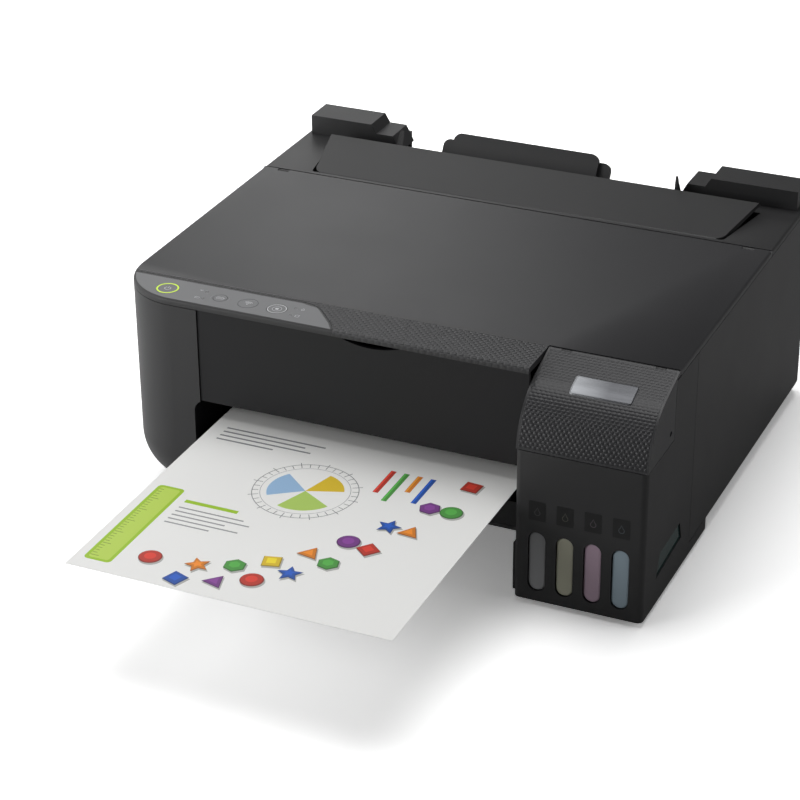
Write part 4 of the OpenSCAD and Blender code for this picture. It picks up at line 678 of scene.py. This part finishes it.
marks("light_marks", [stroke(arc(fan, 1.5, 45, 135, 10), 0.3),
                      stroke(arc(fan, 0.7, 45, 135, 8), 0.3),
                      page((low_left[0] - 4.3, low_left[1]), 1.5, 0.9, 0.4),
                      stroke(drop((right[0] + 5.0, right[1]), 1.7), 0.3, True),
                      page((low_right[0] + 4.6, low_right[1]), 1.2, 1.4, 0.5)], "case")


# ---------- labels and windows of the tank unit ----------

label_black = plastic("label black", "#0d0d0e", 0.3, 1500.0, 0.000004, 0.05)
LABEL_LOW, LABEL_HIGH, LABEL_HALF_W = 61.0, 74.5, 5.6
piece("ink_labels", [plate(rounded((x - LABEL_HALF_W, LABEL_LOW), (x + LABEL_HALF_W, LABEL_HIGH), 0.7),
                           -0.05, 0.06) for x in WINDOW_X],
      "case", label_black, on_tank_front)
piece("ink_label_marks", [ribbon(drop((x, 67.3), 3.2), 0.45, 0.0, 0.09, closed=True) for x in WINDOW_X],
      "case", painted("label print", 0.5), on_tank_front,
      ["#3c3c3e", "#47473f", "#4c444a", "#464c52"])


WINDOW_WIDE, WINDOW_LOW, WINDOW_HIGH = 10.9, 10.9, 52.1
# the lens's outline from the back to the crown: how far it lies inside the slot, and its depth
LENS_STEPS = ((0, -2.6), (0, -1.6), (0.25, -1.3), (0.9, -1.15), (2.6, -1.05))


def window_lens(x):
    """A slot-shaped insert: the outline's inner copies rise in a low crown, like a moulded lens."""
    turn = np.radians(np.linspace(0, 180, 16))
    n = 2 * len(turn)
    outlines = []
    for inset, depth in LENS_STEPS:
        r = WINDOW_WIDE / 2 - inset
        upper = np.c_[x + r * np.cos(turn), WINDOW_HIGH - WINDOW_WIDE / 2 + r * np.sin(turn)]
        lower = np.c_[x - r * np.cos(turn), WINDOW_LOW + WINDOW_WIDE / 2 - r * np.sin(turn)]
        outlines.append(np.c_[np.vstack([upper, lower]), np.full(n, depth)])
    last = (len(outlines) - 1) * n
    faces = [tuple(range(n))[::-1]] + net(len(outlines), n, around=True) + [tuple(range(last, last + n))]
    return np.vstack(outlines), faces


for ink, shade, x in zip(INKS, ("#9d9ea0", "#c4c3ad", "#c5abbd", "#a2b5c1"), WINDOW_X):
    lens = plastic(ink + " window", shade, 0.32, 260.0, 0.00002, 0.14, Coat_Weight=0.25)
    piece(ink + "_window", [window_lens(x)], "case", lens, on_tank_front, smooth=True)

# corners of the tank unit's side window, in y and z
SIDE = np.array([(-148.9, 22.0), (-142.8, 37.6), (-104.3, 38.5), (-100.6, 25.9)])


def on_side(points):
    """Maps (y, z, h) to the tank unit's right side, h standing out."""
    return np.c_[LID_RIGHT + points[:, 2], points[:, 0], points[:, 1]]


middle = SIDE.mean(0)
piece("side_window_lens", [plate(middle + (SIDE - middle) * 0.985, -2.2, -0.8)], "case",
      plastic("smoky teal", "#0c2f2d", 0.18, 200.0, 0.00001, 0.1), on_side)


# ---------- print on the sheet ----------

RED, BLUE, ORANGE, PURPLE, GREEN, YELLOW, LIME = (
    "#c53a2c", "#2456b0", "#e08327", "#7c3f8c", "#4f9e45", "#e6c52e", "#a5cf2c")


def darker(code, factor):
    """The same colour, dimmed or lightened by a factor."""
    return "#" + "".join("%02x" % min(255, int(int(code[i:i + 2], 16) * factor)) for i in (1, 3, 5))


def sheet_print():
    """A page of plain shapes: coloured tiles along a sweep, a dial, grey bars for lines of print and a
    green band with ticks. A shape's level says which others it lies over. Gives shapes and colours."""
    shapes, paint = [], []

    def top(level):
        return 0.02 + 0.012 * level

    def add(outline, colour, level):
        shapes.append(plate(outline, 0.0, top(level)))
        paint.append(colour)

    def line(points, colour, width, level=1, closed=False):
        shapes.append(ribbon(points, width, 0.0, top(level), closed))
        paint.append(colour)

    def tile(kind, centre, size, turn, colour):
        forms = {"disc": lambda c, k: arc(c, size * k, count=40),
                 "star": lambda c, k: star(c, size * 1.15 * k, size * 0.55 * k, 5, turn),
                 "hexagon": lambda c, k: polygon(c, size * k, 6, turn),
                 "triangle": lambda c, k: polygon(c, size * 1.1 * k, 3, turn),
                 "square": lambda c, k: polygon(c, size * 1.1 * k, 4, turn)}
        form = forms[kind]
        add(form((centre[0] + 1.2, centre[1] - 1.4), 1.03), "#b9b9b6", 0)
        add(form(centre, 1.0), darker(colour, 0.72), 1)
        add(form((centre[0] - 0.3, centre[1] + 0.5), 0.9), colour, 2)
        add(form((centre[0] - 0.6, centre[1] + 0.9), 0.5), darker(colour, 1.18), 3)

    kinds = ("disc", "star", "hexagon", "square", "triangle")
    colours = (RED, BLUE, ORANGE, PURPLE, GREEN, RED, YELLOW, BLUE, ORANGE, GREEN, PURPLE)
    tiles = 17
    for k in range(tiles):
        t = k / (tiles - 1)
        u = 46 + 142 * t ** 0.75
        v = 18 + 150 * t ** 1.9
        wave = 8 * (-1) ** k
        kind = kinds[(k * 3) % len(kinds)]
        tile(kind, (u - wave * 0.45, v + wave), 7.2, 25 * k, colours[k % len(colours)])
    # dial
    centre = (92, 132)
    line(arc(centre, 33, 0, 360, 72), "#8a8b8d", 0.5, 1, True)
    line(arc(centre, 28, 0, 360, 72), "#b0b1b3", 0.4, 1, True)
    for k in range(36):
        spoke = np.array([math.cos(math.radians(10 * k)), math.sin(math.radians(10 * k))])
        far = 33 if k % 3 else 35.5
        line([centre + 29 * spoke, centre + far * spoke], "#77787a", 0.45, 2)
    for start, end, count, colour in ((20, 75, 14, YELLOW), (140, 215, 18, "#9fc3e6"),
                                      (250, 330, 18, "#b8d86b")):
        add(np.vstack([[centre], arc(centre, 24, start, end, count)]), colour, 2)
    # lines of print
    for k, long in enumerate((70, 58, 64, 40)):
        line([(10, 186 - 5 * k), (10 + long, 186 - 5 * k)], "#8c8d90", 1.5)
    for k, long in enumerate((44, 50, 36, 47, 30)):
        line([(30, 84 - 4.6 * k), (30 + long, 84 - 4.6 * k)], "#9a9b9d", 1.2)
    line([(30, 92), (66, 92)], LIME, 3.4)
    # slim bars
    for k, (colour, long) in enumerate(zip((RED, GREEN, ORANGE, BLUE), (52, 66, 38, 58))):
        u = 132 + 9 * k
        line([(u, 176), (u, 176 - long * 0.55)], colour, 3.6, 1)
        line([(u - 0.9, 176), (u - 0.9, 176 - long * 0.55)], darker(colour, 1.3), 1.0, 2)
    # band with ticks up the left side
    add(rounded((6, 10), (24, 104), 3), LIME, 1)
    add(rounded((8.2, 12.2), (21.8, 101.8), 2), "#c3e05c", 2)
    for k in range(30):
        long = 5.5 if k % 5 == 0 else 3
        line([(8.4, 15 + 2.9 * k), (8.4 + long, 15 + 2.9 * k)], "#5d8420", 0.4, 3)
    return shapes, paint


art, art_paint = sheet_print()
piece("sheet_print", art, "printed_sheet", painted("printing ink", 0.55), on_sheet, art_paint)


# ---------- tubes and cable that run to the carriage, at rest ---

# the bundle's height, the radius and place of its turn, and where it starts and ends at rest
BUNDLE_Z, LOOP_R, LOOP_X, GUIDE_X, CARRIAGE_MID = 136.5, 6.0, -25.0, 54.0, 140.0
TUBE_LANES = [-58.0 - 4 * i for i in range(4)]
TUBE_COLOURS = ["#2b6a86", "#84355b", "#8f8330", "#2f2f30"]
TUBE_RADIUS = 1.5
CABLE_LANE, CABLE_HALF_T, CABLE_HALF_W = -41.0, 0.3, 9.0


def loop_half(upper):
    """Half of the bundle's path in x and z: a straight run and a quarter of a turn, to its leftmost point."""
    middle_z = BUNDLE_Z - LOOP_R
    turn = np.radians(np.linspace(90, 180, 9) if upper else np.linspace(270, 180, 9))
    bend = np.c_[LOOP_X + LOOP_R * np.cos(turn), middle_z + LOOP_R * np.sin(turn)]
    start, steps = (GUIDE_X if upper else CARRIAGE_MID), 23
    straight = np.c_[np.linspace(start, LOOP_X, steps + 1)[:-1], np.full(steps, bend[0, 1])]
    return np.vstack([straight, bend])


def swept(path, lane, section):
    """A closed section, as (outwards, y) offsets, carried along a path in x and z at y = lane."""
    along = np.gradient(path, axis=0)
    along /= np.linalg.norm(along, axis=1)[:, None]
    out = np.c_[-along[:, 1], along[:, 0]]
    n, m = len(path), len(section)
    ringed = path[:, None, :] + out[:, None, :] * section[None, :, 0:1]
    y = np.broadcast_to(lane + section[None, :, 1], (n, m))
    points = np.stack([ringed[..., 0], y, ringed[..., 1]], -1).reshape(-1, 3)
    caps = [tuple(range(m))[::-1], tuple(range((n - 1) * m, n * m))]
    return points, net(n, m, around=True) + caps


tube_section = arc((0, 0), TUBE_RADIUS, count=12)
cable_section = np.array([(-1, -1), (1, -1), (1, 1), (-1, 1)]) * (CABLE_HALF_T, CABLE_HALF_W)
tube_skin = painted("loop tubes", 0.35)
cable_skin = plastic("flat cable", "#d8d8d4", 0.4, 700.0, 0.00001, 0.05)
for upper in (True, False):
    word = "upper" if upper else "lower"
    path = loop_half(upper)
    tubes = piece("tube_run_" + word, [swept(path, lane, tube_section) for lane in TUBE_LANES], "carriage",
                  tube_skin, colours=TUBE_COLOURS, smooth=True)
    cable = piece("cable_run_" + word, [swept(path, CABLE_LANE, cable_section)], "carriage",
                  cable_skin)
    # both halves meet at the leftmost point, which in the printer moves half as far as the carriage; here the
    # runs are taken off the carriage and stay at rest
    for run in (tubes, cable):
        run.parent = None
        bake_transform(run)
    if upper:
        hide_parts("tube_loop")
        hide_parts("flat_cable")


# ---------- floor and light ----------

def make_floor():
    """A pale floor: the camera and clear panes see it nearly white, so that it keeps its shadow, gloss
    sees it graded, and other rays see grey. Far from the printer it glows, to meet the white world."""
    mesh = bpy.data.meshes.new("floor")
    mesh.from_pydata([(-6, -6, 0), (6, -6, 0), (6, 6, 0), (-6, 6, 0)], [], [(0, 1, 2, 3)])
    made = bpy.data.objects.new("floor", mesh)
    bpy.context.scene.collection.objects.link(made)
    material, tree, shader = blank("pale floor")
    tree.nodes.remove(shader)
    path = put(tree, "LightPath").outputs
    place = put(tree, "TexCoord").outputs["Object"]
    # gloss sees the floor brightest on the left, where the big panels stand
    sheen = maths(tree, "SUBTRACT", SHEEN_EDGE, put(tree, "SeparateXYZ", {0: place}).outputs[0], clamp=True)
    sheen = maths(tree, "MULTIPLY", maths(tree, "MINIMUM", sheen, SHEEN_MOST), path["Is Glossy Ray"])
    direct = maths(tree, "MAXIMUM", path["Is Camera Ray"], path["Is Transmission Ray"])
    seen = maths(tree, "MAXIMUM", direct, sheen)
    colour = mix(tree, seen, (FLOOR_OTHER,) * 3 + (1,), (FLOOR_SEEN,) * 3 + (1,))
    cover = put(tree, "BsdfDiffuse", {"Color": colour})
    reach = put(tree, "VectorMath", {0: place}, operation="LENGTH").outputs["Value"]
    glow = maths(tree, "ADD", maths(tree, "SUBTRACT", reach, GLOW_FROM, clamp=True), GLOW_NEAR)
    lift = put(tree, "Emission", {"Color": (1, 1, 1, 1), "Strength": maths(tree, "MULTIPLY", seen, glow)})
    both = put(tree, "AddShader", {0: cover.outputs[0], 1: lift.outputs[0]})
    output = next(n for n in tree.nodes if n.type == "OUTPUT_MATERIAL")
    tree.links.new(both.outputs[0], output.inputs[0])
    mesh.materials.append(material)


def make_world():
    """A dim surround that shows as white to the camera and through glass, and as grey in gloss."""
    world = bpy.data.worlds.new("studio")
    bpy.context.scene.world = world
    world.use_nodes = True
    tree = world.node_tree
    background = next(n for n in tree.nodes if n.type == "BACKGROUND")
    path = put(tree, "LightPath").outputs
    seen = maths(tree, "MAXIMUM", path["Is Camera Ray"], path["Is Transmission Ray"])
    gloss = maths(tree, "MULTIPLY_ADD", path["Is Glossy Ray"], WORLD_GLOSS, WORLD_LIGHT)
    tree.links.new(maths(tree, "MAXIMUM", seen, gloss), background.inputs["Strength"])
    background.inputs["Color"].default_value = (1, 1, 1, 1)


make_camera()
make_floor()
make_world()
soft_light("back left panel", (-1.2, 1.4, 0.95), (-0.1, 0, 0.12), (1.3, 0.9), 5.8)
soft_light("left panel", (-2.1, 0, 1.0), (-0.1, 0, 0.1), (2.4, 1.5), 16)
soft_light("front left panel", (-1.5, -1.7, 0.8), (-0.05, -0.1, 0.1), (1.3, 1.1), 22)
soft_light("overhead", (-0.2, 0.25, 2.2), (0, -0.05, 0), (1.8, 1.5), 25)
soft_light("right panel", (2.1, 0.3, 0.9), (0.1, 0, 0.1), (1.4, 1.1), 10)

bpy.context.scene.view_settings.view_transform = "Standard"
